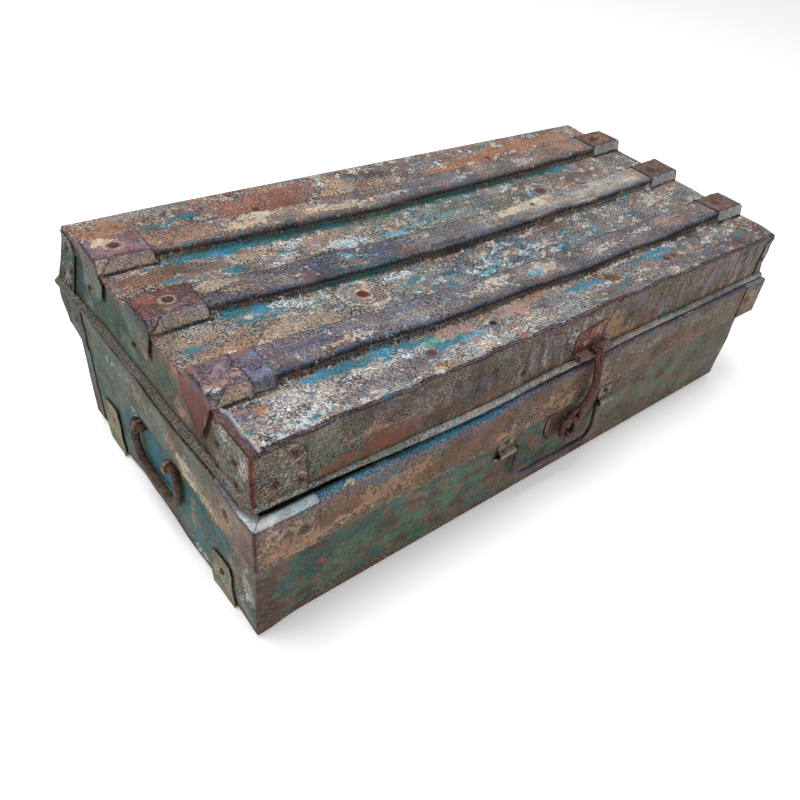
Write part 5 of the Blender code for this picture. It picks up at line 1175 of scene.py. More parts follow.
def make_rib_cap(name, side):
    """A cap over a rib's end: crest and cheeks bent from one sheet, with a flap down the end wall."""
    end, centre = ENDS[side], RIBS[name]
    ink, length, blobs, rings, spots = CAPS[name, side]
    lift = 1.0
    outside = LID_HALF + 1.3
    profile = ridge(centre, FOOT + lift, LID_FLAT + 0.5, TOP + lift * 0.6, CREST + lift)
    stations = [(outside - length + t * length, 0.0) for t in np.linspace(0, 0.97, int(length / 1.1))]
    stations += [(outside - 0.3, 0.35), (outside, 1.1), (outside + 0.1, 2.4)]
    saddle = drawn_along(bent_path(profile, 1.6, 1.1), stations)
    saddle[..., 1] += 0.35 * np.sin(saddle[..., 0] * 0.4 + centre)
    saddle[..., 0] *= end
    spliced = side == "left" and name == "front"
    rows = np.linspace(160.0 if spliced else LID_FLAT - 25, CREST - 0.4, 46 if spliced else 34)
    taper = np.clip((LID_FLAT - rows) / 25, 0, 1)
    front_edge = {("back", "left"): (15.5, 23.5, 25.5, 18.5), ("middle", "left"): (13.5, 15.0, 18.0, 18.5)}
    half_front = np.interp(rows, [172, 178, 193, 196.5, LID_FLAT, CREST],
                           [*front_edge.get((name, side), (12.5, 14.0, 17.6, 18.2)), FOOT + lift, TOP + lift])
    half_back = np.interp(rows, [LID_FLAT - 25, LID_FLAT, CREST], [15.0, FOOT + lift, TOP + lift])
    share = np.linspace(0, 1, 32)
    across = centre - half_front[:, None] + share[None, :] * (half_front + half_back)[:, None]
    if spliced:
        front_line = centre - np.interp(rows, [160, 170, 188, 199.5], [1.0, 6.8, 13.6, 16.6])
        back_line = centre + np.interp(rows, [160, 165, 175.6, 184.5, 196.8, 198.5, 207],
                                       [-0.8, 10.6, 20, 25.3, 28.4, 17.5, 16.5])
        across = front_line[:, None] + share[None, :] * (back_line - front_line)[:, None]
    out = outside + 0.1 + 1.3 * taper[:, None] ** 2 * (1 - share[None, :]) ** 3
    flap = upright(end * out, across, rows)

    def lay(points):
        x, y, z = points.T
        along, aside = outside - np.abs(x), y - centre
        ground = INKS[ink] * (1.25 if side == "left" else 0.92)
        paint = grained(points, ground, 0.26, 0.3, 0.22, 12, 500 + int(centre))
        paint.blobs(along, aside, blobs, 510 + int(centre))
        paint.rings(along + 0.5 * waves(points, 7, 511), aside + 0.5 * waves(points, 7, 512), rings)
        paint.spots(along, aside, spots)
        cheek = (aside < -TOP - 0.3) & (along > 0.8)
        paint.tint(cheek * 0.85, "beige" if side == "left" else "ledge")
        paint.tint(cheek * 0.45, "pale")
        paint.mask[cheek] *= 0.3
        paint.pale[cheek] = 0.45
        paint.dark[cheek] = 0.35
        # On the middle cap the front crease is a painted highlight; the other caps get a dark fold colour
        # there.
        crease = np.exp(-((aside + TOP - 0.6) / 1.5) ** 2) * (along > 0.8)
        paint.tint(crease * 0.75, "edge" if name == "middle" else "fold")
        border = np.minimum(np.minimum(length - along, along), TOP + 0.8 - aside)
        paint.tint((1 - ease(border, 0.6, 2.0)) * (z > CREST - 2) * 0.85, "rim")
        if end < 0:
            corner = cheek & (along < 10.5 - 0.9 * (CREST - z))
            seam = np.exp(-((along - 10.5 + 0.9 * (CREST - z)) / 0.9) ** 2) * (aside < -TOP - 0.3)
            paint.tint(corner * 0.7, "pale" if name == "back" else "crest")
            paint.tint(seam * 0.85, "rim")
        wing = (along < 0.8) & (z < CREST - 1.5)
        slit = np.interp(z, [172, 197], [14, 18.4])
        if name == "back":
            slit = np.interp(z, [172, 178, 193, 196.5], [17.2, 23.5, 25.5, 19.0])
        blobs_here = LID_END_BLOBS if side == "left" and name != "front" else ()
        tone = "rust" if spliced else "sage"
        hang = paint_wall(points, y, z, ((-150, tone), (150, tone)), blobs_here, 520, 0.12, "olive", 0.45)
        if spliced:
            hang.tint(ease(z, 172, 186) * 0.7, "redrust")
            hang.blobs(y, z, ((centre - 10, 182, 3, 8, "tan", 0.7),
                              (centre + 4, 196, 12, 3, "brown", 0.7)), 524)
            hang.coat *= (0.72, 0.54, 0.44)
            hang.patch *= (0.8, 0.7, 0.6)
            hang.pale *= 0.4
        hang.tint(ease(z, LID_FLAT - 6, LID_FLAT + 4) * 0.7, "mauve" if name != "middle" else "dim")
        # The slit before the flap is painted black: painted shade in the gap.
        if name != "front":
            hang.tint((1 - ease(aside + slit, 0.6, 1.8)) * (z < LID_FLAT - 1) * 0.9, "black")
        blend_paint(paint, ((wing, hang),))
        rim = ease(length - along, 0, 1.3)
        paint.tint((1 - rim) * 0.7, "dark")
        paint.mask *= 0.55 + 0.45 * rim
        return paint

    add_sheets(f"rib_boot_{name}_{side}", [(saddle, (0, 0, 1)), (flap, (end, 0, 0))], lay, lid_warp, "lid",
               [f"rib_cap_{name}_{side}"], 0.7)


def make_splice():
    """The short plate that carries on from the front left cap, blue-grey with a rusty back edge."""
    centre, start = RIBS["front"], LID_HALF + 1.3 - 29.4
    profile = bent_path(ridge(centre, FOOT + 0.9, LID_FLAT + 0.4, TOP + 0.5, CREST + 0.7), 1.6, 1.6)
    points = ruled(profile, -np.linspace(start, start - 16.5, 11))

    def lay(points):
        x, y, z = points.T
        paint = grained(points, linear((108, 116, 140)), 0.24, 0.28, 0.2, 12, 530)
        paint.blobs(-x, y, (
            (start - 8, centre + 13, 9, 3, "redrust", 0.9), (start - 6, centre - 16, 9, 3, "grey", 0.7),
            (start - 12, centre + 2, 5, 8, "steel", 0.7)), 531)
        paint.tint((1 - ease(-x - (start - 16.5), 0, 1.2)) * 0.7, "dark")
        return paint

    add_sheets("rib_splice_sheet", [(points, (0, 0, 1))], lay, lid_warp, "lid", ["rib_splice_front_left"],
               0.7)


def cap_rivets():
    """Flat round heads on the caps: two and one on the spliced cap, one on each other."""
    up, z, outs = (0, 0, 1), CREST + 1.3, LID_HALF + 2.3
    spliced = [((-270, -84, z), up, 5.2, 0.7), ((-291, -81, z), up, 5.0, 0.6),
               ((-262.5, -90, z), up, 5.6, 0.9)]
    add_rivets("cap_rivets_front_left", spliced, plain((92, 82, 92), 0.3, 0.35, 540), lid_warp, "lid")
    others = [((-279, 89, z), up, 3.4, 1.0), ((-276, 2, z), up, 3.2, 1.0)]
    others += [((271, centre, z), up, 3.2, 1.0) for centre in RIBS.values()]
    others += [((-outs, y, z), (-1, 0, 0), 2.6, 1.2) for y, z in ((90, 175), (11, 173))]
    others += [((outs, centre, 179.4), (1, 0, 0), 2.6, 1.2) for centre in RIBS.values()]
    add_rivets("cap_rivets", others, plain((84, 58, 54), 0.2, 0.4, 541), lid_warp, "lid")


FACE_HOLES = ((270, 184), (267, 157), (284, 163))
END_HOLES = {"front": ((-111, 173), (-132, 174), (-110, 151), (-133, 155)),
             "back": ((139, 184), (141, 160), (127, 168), (128, 155))}
CORNERS = {
    # how far it reaches along the face and the end, its rivets at (x, z) on the face and (y, z) on the end
    ("front", "left"): (38.1, 47.0, mirrored(FACE_HOLES, 0), END_HOLES["front"]),
    ("front", "right"): (14.0, 45.1, ((291, 168),), END_HOLES["front"]),
    ("back", "left"): (38.1, 32.1, mirrored(FACE_HOLES, 0), END_HOLES["back"]),
    ("back", "right"): (38.1, 35.8, FACE_HOLES, END_HOLES["back"]),
}


def make_lid_corner(face, side):
    """A corner plate: one sheet bent round the upright corner, with rings of wear round its rivets.

    Its upper corners are cut: the top is lowered by 9 mm less the distance from the sheet's edge.
    """
    deep, end = SIDES[face], ENDS[side]
    along, across, fronts, ends = CORNERS[face, side]
    high, low = 193.4, LID_LOW + 1.0
    stop_front, stop_end = LID_HALF + 1.2 - along, LID_DEEP + 1.2 - across
    turn = ((stop_front, LID_DEEP + 1.1), (LID_HALF + 1.1, LID_DEEP + 1.1), (LID_HALF + 1.1, stop_end))
    around_x, around_y = bent_path([(end * x, deep * y) for x, y in turn], 2.2, 2.0).T
    far = np.minimum(np.where(np.abs(around_y) > LID_DEEP, np.abs(around_x - end * stop_front), 99),
                     np.where(np.abs(around_x) > LID_HALF, np.abs(around_y - deep * stop_end), 99))
    top = high - np.clip(9.0 - far, 0, None)
    heights = low + (top - low) * np.linspace(0, 1, 24)[:, None]
    points = np.stack(np.broadcast_arrays(around_x, around_y, heights), axis=-1)

    def lay(points):
        x, y, z = points.T
        paint = Paint(points, linear((96, 92, 80)), 0.40, 0.38)
        on_end = np.abs(x) > LID_HALF + 0.9
        paint.coat[on_end] = linear((104, 104, 92) if deep < 0 else (50, 84, 72))
        if deep > 0:
            paint.pale[on_end], paint.dark[on_end] = 0.18, 0.2
        paint.coat *= (1 + 0.24 * rough(points * (1, 1, 0.4), 16, 560))[:, None]
        seam = stripe(np.abs(y) - stop_end, 1.6, 0.6) * on_end
        seam += stripe(np.abs(x) - stop_front, 0.8, 0.6) * ~on_end
        paint.tint(seam * 0.92, "black")
        where = np.where(on_end, y, x)
        for on, holes in ((~on_end, fronts), (on_end, ends)):
            for u, v in holes:
                far = np.hypot(where - u, z - v) + 1.2 * waves(points, 12, 561)
                for ring, ink, strength in ((7.5, "beige", 0.75), (11.0, "grey", 0.6), (9.2, "dim", 0.6)):
                    paint.lay(np.clip(1.3 - np.abs(far - ring), 0, 1) * strength * on, ink)
                paint.tint((1 - ease(far, 3.2, 6.0)) * on * 0.8, "umber")
        paint.blobs(where, z, (
            (-262, 172, 6, 14, "brown", 0.6), (-280, 150, 16, 3, "brown", 0.6),
            (-120, 186, 10, 4, "pale", 0.6), (-143, 176, 6, 12, "pale", 0.7),
            (-122, 160, 12, 5, "sage", 0.7)), 562)
        edge = np.exp(-(np.hypot(np.abs(x) - LID_HALF - 1, np.abs(y) - LID_DEEP - 1) / 2.4) ** 2)
        paint.tint(edge * 1.2, "red")
        paint.mask *= 1 - np.clip(edge * 1.4 + seam, 0, 1)
        paint.pale *= 1 - np.clip(edge + seam, 0, 1)
        return paint

    grids = [(points, (end, deep, 0) if along > 30 else (end, 0, 0))]
    add_sheets(f"lid_corner_plate_{face}_{side}", grids, lay, lid_warp, "lid", [f"lid_corner_{face}_{side}"],
               0.9)
    rivets = [((u, deep * (LID_DEEP + 1.2), v), (0, deep, 0), 2.3, 1.0) for u, v in fronts]
    rivets += [((end * (LID_HALF + 1.2), u, v), (end, 0, 0), 2.2, 1.0) for u, v in ends]
    add_rivets(f"lid_corner_rivets_{face}_{side}", rivets,
               plain((74, 52, 46) if deep < 0 else (66, 76, 66), 0.1, 0.5, 566), lid_warp, "lid")


# Base
def base_out(up):
    """Half depth of the base at a height: straight from 146 mm at the bottom to 151 mm at the band."""
    return BASE_NARROW + (BASE_DEEP - BASE_NARROW) * np.clip((up - BASE_LOW) / (BAND_LOW - BASE_LOW), 0, 1)


def make_base_shell():
    """The base's wrap: front, bottom with two pressed runners, and back, with its ends turned in."""
    wall = [(BASE_DEEP, WALL_TOP + 0.7), (BASE_DEEP, BAND_LOW), (BASE_NARROW, BASE_LOW)]
    corners = [(-y, z) for y, z in wall]
    for centre in SKIDS.values():
        corners += ridge(centre, 17, BASE_LOW, 15, BASE_LOW - 5)
    corners += wall[::-1]
    profile = bent_path(corners, 2.0, 2.0)
    kept = np.where(profile[:, 0] < -144, 1, np.where(profile[:, 0] > 144, 2, 3))
    profile = profile[(np.arange(len(profile)) % kept == 0) | (np.arange(len(profile)) == len(profile) - 1)]
    stations = [(-BASE_HALF - 0.2, 1.8), (-BASE_HALF - 0.2, 0.8), (-BASE_HALF + 0.1, 0.2)]
    stations += [(x, 0.0) for x in np.linspace(-BASE_HALF + 0.8, BASE_HALF - 0.8, 270)]
    stations += [(BASE_HALF - 0.1, 0.2), (BASE_HALF + 0.2, 0.8), (BASE_HALF + 0.2, 1.8)]
    rows = np.linspace(BASE_LOW + 1, WALL_TOP, 40)
    lap = base_out(rows)[:, None] - np.linspace(0, 17.0, 8)[None, :]
    grids = [(drawn_along(profile, stations, -1), (0, 0, -1))]
    grids += [(upright(end * (BASE_HALF + 1.0), lap, rows), (end, 0, 0)) for end in (-1, 1)]

    def lay(flat):
        paint = paint_base(flat)
        x, y, z = flat.T
        strap = (np.abs(x) > BASE_HALF + 0.6) & (y > 125)
        band = Paint(flat, linear((112, 78, 60)), 0.2, 0.3)
        depth = base_out(z) - y
        bare = 16 * ease(66 - z, 0, 26) - 0.5
        band.tint(ease(depth - bare, -0.6, 0.4), "lapped")
        band.tint(stripe(depth - bare, 0.4, 0.6) * 0.8, "dark")
        band.tint((1 - ease(depth, 0.2, 1.2)) * 0.8, "dark")
        band.coat *= (1 + 0.2 * rough(flat, 24, 197))[:, None]
        return blend_paint(paint, ((strap, band),))

    add_sheets("base_shell", grids, lay, base_warp, "base", ["base_wrap"])


def make_base_ends():
    """Both end walls of the base, narrowing towards the bottom with the leaning front and back."""
    for side, end in ENDS.items():
        rows, share = np.linspace(BASE_LOW + 0.3, WALL_TOP, 76), np.linspace(-1, 1, 176)
        points = upright(end * (BASE_HALF - 0.1), (base_out(rows) - 0.7)[:, None] * share[None, :], rows)
        add_sheets("base_end_panel_" + side, [(points, (end, 0, 0))], paint_base_end, base_warp, "base",
                   ["base_end_" + side])


def make_rim_band():
    """The band: a hem against the wall, an outer face and a ledge, carried round the base and its corners."""
    section = [(0.12, 103.8), (0.6, 103.7), (0.9, 103.9), (0.98, 104.5)]
    section += [(1.0, z) for z in np.linspace(105.4, 141.4, 19)]
    section += [(0.985, 142.3), (0.93, 142.8), (0.85, 143.0), (0.6, 143.05)]
    section += [(0.4, 143.0), (0.2, 142.9), (-0.1, 142.8)]
    rows = []
    for share, up in section:
        half_long = BASE_HALF + (BAND_HALF - BASE_HALF) * share
        half_deep = BASE_DEEP + (BAND_DEEP - BASE_DEEP) * share
        xs, ys = np.linspace(-half_long, half_long, 236), np.linspace(-half_deep, half_deep, 120)
        front = np.column_stack([xs, np.full(236, -half_deep)])
        right = np.column_stack([np.full(118, half_long), ys[1:-1]])
        ring = np.concatenate([front, right, -front, -right])
        reach = np.hypot(*np.clip(np.abs(ring) - (half_long - 2.2, half_deep - 2.2), 0, None).T)
        pull = np.clip(reach - 2.2, 0, None)[:, None] * 0.7
        ring = ring - pull * np.sign(ring)
        rows.append(np.column_stack([ring, np.full(len(ring), up)]))
    points = np.stack(rows, axis=0)
    add_sheets("rim_band_sheet", [(points, (0, 1, 0), True)], paint_band, base_warp, "base", ["rim_band"])


def make_band_corner(face, side):
    """A wrap over one corner of the band: both outer faces and the outer part of the ledge."""
    deep, end = SIDES[face], ENDS[side]
    lift = 0.9
    along, across = 37 if (face, side) == ("front", "right") else 48, 53
    out_x, out_y = BAND_HALF + lift, BAND_DEEP + lift
    section = [(0, z) for z in np.linspace(103.6, 141.6, 20)]
    section += [(0.15, 142.8), (0.5, 143.5), (1.2, 143.9), (3, 144.0), (5, 144.0), (7.4, 144.0), (9.9, 143.9)]
    rows = []
    for inset, up in section:
        cx, cy = end * (out_x - inset), deep * (out_y - inset)
        run_front = np.linspace(out_x - along, out_x - inset - 1.2, 24)
        run_end = np.linspace(out_y - inset - 1.2, out_y - across, 26)
        front = np.column_stack([end * run_front, np.full(24, cy)])
        side_on = np.column_stack([np.full(26, cx), deep * run_end])
        bend = np.array([(cx - end * 0.35, cy - deep * 0.35)])
        rows.append(np.column_stack([np.concatenate([front, bend, side_on]), np.full(51, up)]))
    points = np.stack(rows, axis=0)
    at_front, at_end = end * (out_x - along * 0.76), deep * (out_y - across * 0.70)

    def lay(points):
        paint = paint_band(points)
        x, y, z = points.T
        ledge = z > 143.2
        if end < 0:
            far = np.hypot(x + 305, y - deep * 160)
            # Painted light: a pale gradient on the left ledges, brightest about 12 mm in from the corner.
            lit = ((0, (186, 200, 204)), (12, (206, 228, 234)), (48, (184, 214, 224)))
            paint.coat[ledge] = gradient(far[ledge], lit)
            paint.tint(ledge * (np.abs(y) < 152) * ease(far, 12, 22) * 0.75, "mauve")
            paint.tint(ledge * stripe(np.abs(x) - out_x - np.abs(y) + out_y, 0.5, 0.7) * 0.7, "fold")
        else:
            paint.coat[ledge] = linear((134, 140, 142))
        paint.coat[ledge] *= (1 + 0.14 * rough(points, 9, 600))[ledge][:, None]
        paint.pale[ledge], paint.dark[ledge] = 0.3, 0.16
        paint.mask[ledge] = 0
        for on, u, v in ((np.abs(y) > BAND_DEEP - 1, x, at_front), (np.abs(x) > BAND_HALF - 1, y, at_end)):
            far = np.hypot(u - v, z - 124)
            share = on * (1 - ease(far, 4.2, 6.0)) * ~ledge
            paint.tint(on * ~ledge * stripe(far - 6.8, 0.6, 0.6) * (0.6 if end < 0 > deep else 0), "pale")
            paint.tint(share * 0.8, "brown" if end < 0 else "maroon")
            paint.mask *= 1 - share
        edge = np.exp(-(np.hypot(np.abs(x) - out_x, np.abs(y) - out_y) / 2.2) ** 2)
        paint.tint(edge * 0.95, "rim" if end < 0 else "purple")
        if end < 0 < deep:
            paint.coat *= 0.5
            paint.patch *= 0.6
        paint.mask *= 1 - np.clip(edge, 0, 1)
        border = np.minimum(np.abs(np.abs(x) - (out_x - along)) + 99 * (np.abs(y) < BAND_DEEP - 1),
                            np.abs(np.abs(y) - (out_y - across)) + 99 * (np.abs(x) < BAND_HALF - 1))
        paint.tint((1 - ease(border, 0.3, 1.6)) * 0.85, "black")
        rim = np.exp(-((z - 142.6) / 1.2) ** 2)
        paint.tint(rim * (0.8 if end < 0 else 0.5), "fold")
        return paint

    add_sheets(f"band_wrap_{face}_{side}", [(points, (end, 0, 0))], lay, base_warp, "base",
               [f"band_corner_{face}_{side}"], 0.8)
    rivets = [((at_front, deep * (out_y + 0.1), 123.5), (0, deep, 0), 3.0, 1.0),
              ((end * (out_x + 0.1), at_end, 126), (end, 0, 0), 3.0, 1.0)]
    add_rivets(f"band_rivets_{face}_{side}", rivets, plain(INK["brown"], 0.2, 0.45, 610), base_warp, "base")


def make_skid_cap(face, side):
    """The boot over a runner's end, with its flap up the end wall."""
    end, centre = ENDS[side], SKIDS[face]
    flap = {"front": 37.0, "back": 44.0}[face]
    out = BASE_HALF + 1.3
    rows = np.linspace(1.2, BASE_LOW + flap, 24)
    half = np.interp(rows, [1.2, BASE_LOW, BASE_LOW + 4, BASE_LOW + flap * 0.8, BASE_LOW + flap],
                     [15.4, 17.4, 17.6, 15.0, 12.6])
    share = np.linspace(-1, 1, 16)
    across = centre + half[:, None] * share[None, :]
    wave = 0.7 * waves(upright(0.0, across, rows).reshape(-1, 3), 26, 620 + int(centre))
    x = end * (out + 0.5 * np.abs(wave.reshape(across.shape)) + 0.4 * (share[None, :] ** 2))
    profile = bent_path(ridge(centre, 17.4, BASE_LOW, 15.4, 0.5), 1.5, 2.0)
    sole = ruled(profile, end * np.linspace(out - 44, out, 20))
    grids = [(upright(x, across, rows), (end, 0, 0)), (sole, (0, 0, -1))]

    def lay(points):
        x, y, z = points.T
        paint = grained(points, linear((140, 134, 106)), 0.3, 0.34, 0.2, 16, 630)
        paint.blobs(y - centre, z, (
            (6, 12, 9, 5, "green", 0.6), (-6, 30, 6, 8, "sage", 0.7), (8, 36, 6, 6, "brown", 0.6)), 631)
        edge = np.interp(z, rows, half) - np.abs(y - centre)
        paint.tint((1 - ease(edge, 0.2, 1.4)) * 0.9 * (z > BASE_LOW), "black")
        paint.tint((1 - ease(rows[-1] - z, 0.2, 1.2)) * 0.8, "black")
        paint.tint((1 - ease(z, 1, 4)) * 0.7, "umber")
        return paint

    add_sheets(f"runner_boot_{face}_{side}", grids, lay, base_warp, "base", [f"skid_cap_{face}_{side}"],
               0.7)


# Ironwork
def smooth_path(points, count):
    """A curve through points: cubic Hermite spans with Catmull-Rom slopes, even in the span number."""
    points = np.asarray(points, float)
    slopes = np.gradient(points, axis=0)
    t = np.linspace(0, len(points) - 1, count)
    i = np.clip(t.astype(int), 0, len(points) - 2)
    return hermite((t - i)[:, None], points, slopes, i)


RUST_ROD = plain((86, 50, 40), 0.2, 0.3, 700, 0.4)
# The right leg of the front grip is painted near black: painted shade.
DARK_ROD = plain((88, 78, 88), 0.16, 0.2, 710, 0.25,
                 lambda paint: paint.tint(ease(paint.points[:, 0], 20, 44) * 0.75, "black"))
END_ROD = plain((80, 66, 54), 0.16, 0.2, 715, 0.35)


def make_hasp():
    """The hasp: a rod doubled into two strands that hook over the pin and open into an eye at the staple."""
    pin_y, pin_z, middle = -160.8, 157.0, 15.0
    # shift of both strands to the side, half their distance, y, z
    course = ((1.0, 2.2, -166.6, 147), (2.2, 2.1, -168.2, 134), (2.4, 2.1, -168.4, 121),
              (1.2, 2.2, -167.0, 110), (0, 2.6, -164.4, 101), (-0.8, 5.0, -161.6, 94),
              (-1.8, 8.2, -159.6, 86), (-2.6, 9.4, -158.2, 76), (-3.0, 8.6, -157.6, 66),
              (-3.2, 5.0, -157.4, 59.6), (-3.2, 0.3, -157.4, 58.0))
    strands = []
    for way in (-1, 1):
        hook = [(middle + way * 2.4, pin_y + 4.7 * math.cos(a), pin_z + 4.7 * math.sin(a))
                for a in np.radians((25, 70, 115, 155, 185))]
        path = smooth_path(hook + [(middle + shift + way * gap, y, z) for shift, gap, y, z in course], 90)
        strands.append((path, 2.3 + 0.35 * ease(-path[:, 2], -100, -80), 14))
    add_tubes("hasp_rod", strands, RUST_ROD, None, "hasp", ["hasp"], 0.25, 702)


def make_hasp_plate():
    """The hasp's plate, its upper corners bent down and its lower edge rolled into two knuckles."""
    t, s = np.linspace(0, 1, 18)[:, None], np.linspace(-1, 1, 30)[None, :]
    face = upright(14 + 20.5 * s, -153.4, 156 + 25 * t[:, 0])
    face[..., 2] += 1.6 * t * s - 1.5 * t ** 3 * s ** 2
    face[..., 0] += 1.5 * t * (0.5 - s)
    face[..., 1] -= 0.5 * np.sin(3 * s + 2 * t)
    grids = [(face, (0, -1, 0))]
    for start, stop in ((-7, 6.6), (21.4, 35)):
        angle = np.radians(np.linspace(100, 395, 18))
        xs = np.linspace(start, stop, 9)
        ring = upright(xs, (-160.2 + 3.6 * np.cos(angle))[:, None], 157.0 + 3.6 * np.sin(angle))
        ring += 0.25 * waves(ring.reshape(-1, 3), 10, 720).reshape(18, 9, 1)
        leaf = upright(xs, np.array([[-153.6], [-156.8]]), np.array([160.6, 160.9]))
        leaf = np.concatenate([leaf, ring[:1]])
        grids += [(ring, (0, -1, 0)), (leaf, (0, -0.3, 1))]

    def lay(points):
        x, y, z = points.T
        paint = grained(points, linear((110, 74, 64)), 0.25, 0.35, 0.25, 12, 721)
        paint.blobs(x, z, ((20, 176, 14, 5, "redrust", 0.7), (2, 166, 7, 8, "rust", 0.7),
                           (26, 168, 7, 9, "maroon", 0.7)), 722)
        knuckle = y < -156.5
        paint.tint(knuckle * 0.75, "mauve")
        paint.spots(x, z, ((6.5, 167.5, 2.2, "beige"), (20, 175, 2.4, "pale"), (24, 170, 1.6, "beige")))
        return paint

    add_sheets("hasp_leaf", grids, lay, lid_warp, "lid", ["hasp_plate"], 0.9)
    rivets = [((3.5, -154.2, 167.5), (0, -1, 0), 2.4, 0.8), ((22.5, -154.2, 174.5), (0, -1, 0), 2.4, 0.8)]
    add_rivets("hasp_leaf_rivets", rivets, plain(INK["beige"], 0.4, 0.3, 724), lid_warp, "lid",
               ["hasp_rivet_left", "hasp_rivet_right"])


def make_staple():
    """The oval backing plate with a light rim painted as a highlight, and the staple's rod standing out into
    the hasp's eye.
    """
    rings = []
    turn = np.linspace(0, 2 * np.pi, 56, endpoint=False)
    for share in (1.0, 0.97, 0.9, 0.78, 0.62, 0.45, 0.28, 0.1):
        x = 8 + 21 * share * np.sign(np.cos(turn)) * np.abs(np.cos(turn)) ** 0.8
        z = 77 + 25 * share * np.sign(np.sin(turn)) * np.abs(np.sin(turn)) ** 0.8
        lift = 0.5 + 0.9 * math.sqrt(max(0.0, 1 - share ** 6))
        rings.append(np.stack([x, -(base_out(z) + lift), z], axis=-1))

    def lay(flat):
        x, y, z = flat.T
        far = np.hypot((x - 8) / 21, (z - 77) / 25)
        paint = grained(flat, linear((82, 64, 54)), 0.2, 0.3, 0.25, 14, 730)
        paint.blobs(x, z, ((4, 90, 8, 6, "brown", 0.7), (0, 66, 6, 9, "umber", 0.8),
                           (18, 92, 7, 5, "dim", 0.7), (10, 56, 9, 4, "rust", 0.7)), 731)
        # A painted highlight round the plate's raised rim.
        paint.tint(stripe(far - 0.90, 0.02, 0.03) * 0.5, "beige")
        paint.tint(ease(far, 0.93, 0.98) * 0.9, "black")
        return paint

    add_sheets("staple_backing", [(np.array(rings), (0, -1, 0), True)], lay, base_warp, "base",
               ["staple_plate"], 0.8)
    leg = [(-147, 10), (-155, 10), (-160.5, 8.6), (-163.4, 4)]
    course = leg + [(-163.7, 0)] + [(y, -up) for y, up in leg[::-1]]
    path = smooth_path([(14, y, 72.5 + up) for y, up in course], 60)
    add_tubes("staple_rod", [(path, 2.4, 12)], plain((108, 84, 84), 0.3, 0.3, 733, 0.3), None, "base",
              ["staple"], 0.15, 734)


def make_front_handle():
    """The wire drop handle: two ends hooked in the brackets, corners bent, and a straight grip."""
    left = [(-66.0, -152.6, 72.8), (-56, -152.6, 72.8), (-50.5, -153.0, 71.5), (-49.8, -154.0, 62),
            (-50.0, -154.4, 48), (-46, -154.6, 39.5), (-38, -154.7, 35.4), (-20, -154.7, 34.4),
            (2.5, -154.8, 34.2)]
    right = [(5 - x, y, z) for x, y, z in left[-2::-1]]
    path = smooth_path(left + right, 150)
    add_tubes("front_grip", [(path, 2.5 - 0.8 * ease(path[:, 0], 24, 50), 12)], DARK_ROD, None,
              "front_handle", ["front_handle"], 0.18, 741)


def make_brackets():
    """The two brackets of the front handle: a strap with a half round hood over the handle's end."""
    above, below = ([(-base_out(z) - lift, z) for lift, z in rows]
                    for rows in (((0.6, 89.5), (0.9, 86), (1.0, 80)), ((1.0, 65), (0.8, 62.2))))
    angle = np.radians(np.linspace(0, 180, 11))[1:-1]
    hood = list(zip(-152.4 - 4.1 * np.sin(angle), 72.8 + 4.1 * np.cos(angle)))
    profile = np.array(above + [(-152.0, 77.6)] + hood + [(-151.3, 68.0)] + below)
    for side, place, ink in (("left", -63.5, (150, 138, 118)), ("right", 68.5, (140, 138, 128))):
        points = ruled(profile, np.linspace(place - 9.5, place + 9.5, 12))

        def lay(flat, place=place, ink=ink):
            x, y, z = flat.T
            paint = grained(flat, linear(ink), 0.4, 0.3, 0.22, 10, 750)
            paint.tint(ease(z, 80, 84) * 0.5, "brown")
            if place < 0:
                paint.blobs(x - place, z, ((0, 88, 7, 2.5, "green", 0.8), (6, 84, 3, 3, "orange", 0.6)), 751)
            # Painted shade in the creases either side of the hood.
            hollow = np.exp(-((z - 77.4) / 1.2) ** 2) + np.exp(-((z - 67.6) / 1.2) ** 2)
            paint.tint(np.clip(hollow, 0, 1) * 0.7, "dark")
            edge = 9.5 - np.abs(x - place)
            paint.tint((1 - ease(edge, 0.2, 1.0)) * 0.5, "dark")
            return paint

        add_sheets("bracket_strap_" + side, [(points, (0, -1, 0))], lay, base_warp, "base",
                   ["front_bracket_" + side], 1.1)


def make_end_handles():
    """The thicker drop handles on the ends: pintles through the eyes, bent corners and a grip."""
    # x, y and z of one half, from the tip behind its eye to the middle of the grip
    course = ((301.9, 22.0, 82.4), (301.9, 28, 82.6), (301.9, 33.4, 82.4), (301.9, 37.0, 78.6),
              (302.2, 38.2, 69), (302.3, 37.6, 58), (302.3, 34.0, 48.4), (302.3, 26, 42.6),
              (302.3, 13, 40.9), (302.3, 0, 40.5))
    for side, end in ENDS.items():
        half = [(end * x, y, z) for x, y, z in course]
        other = [(x, -y, z) for x, y, z in half[-2::-1]]
        path = smooth_path(half + other, 120)
        add_tubes("end_grip_" + side, [(path, 3.4, 14)], END_ROD, None, side + "_handle", [side + "_handle"],
                  0.07, 760)


make_lid_shell()
make_lid_ends()
make_beads()
for rib in RIBS:
    for hand in ENDS:
        make_rib_cap(rib, hand)
make_splice()
cap_rivets()
for where in SIDES:
    for hand in ENDS:
        make_lid_corner(where, hand)
        make_band_corner(where, hand)
        make_skid_cap(where, hand)
make_base_shell()
make_base_ends()
make_rim_band()
make_hasp()
make_hasp_plate()
make_staple()
make_front_handle()
make_brackets()
make_end_handles()


def dress_nodes():
    """Gives each CAD node that stays in view a weathered material."""
    for name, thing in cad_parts.items():
        if name.startswith("hinge"):
            skin = HINGES
        elif name.startswith(("rim_upstand", "lid", "base", "skid_cap")):
            skin = SHADOWED
        elif "eye" in name:
            skin = EYES
        else:
            skin = IRON
        for slot in range(max(1, len(thing.material_slots))):
            if thing.material_slots:
                thing.material_slots[slot].material = skin
            else:
                thing.data.materials.append(skin)


dress_nodes()


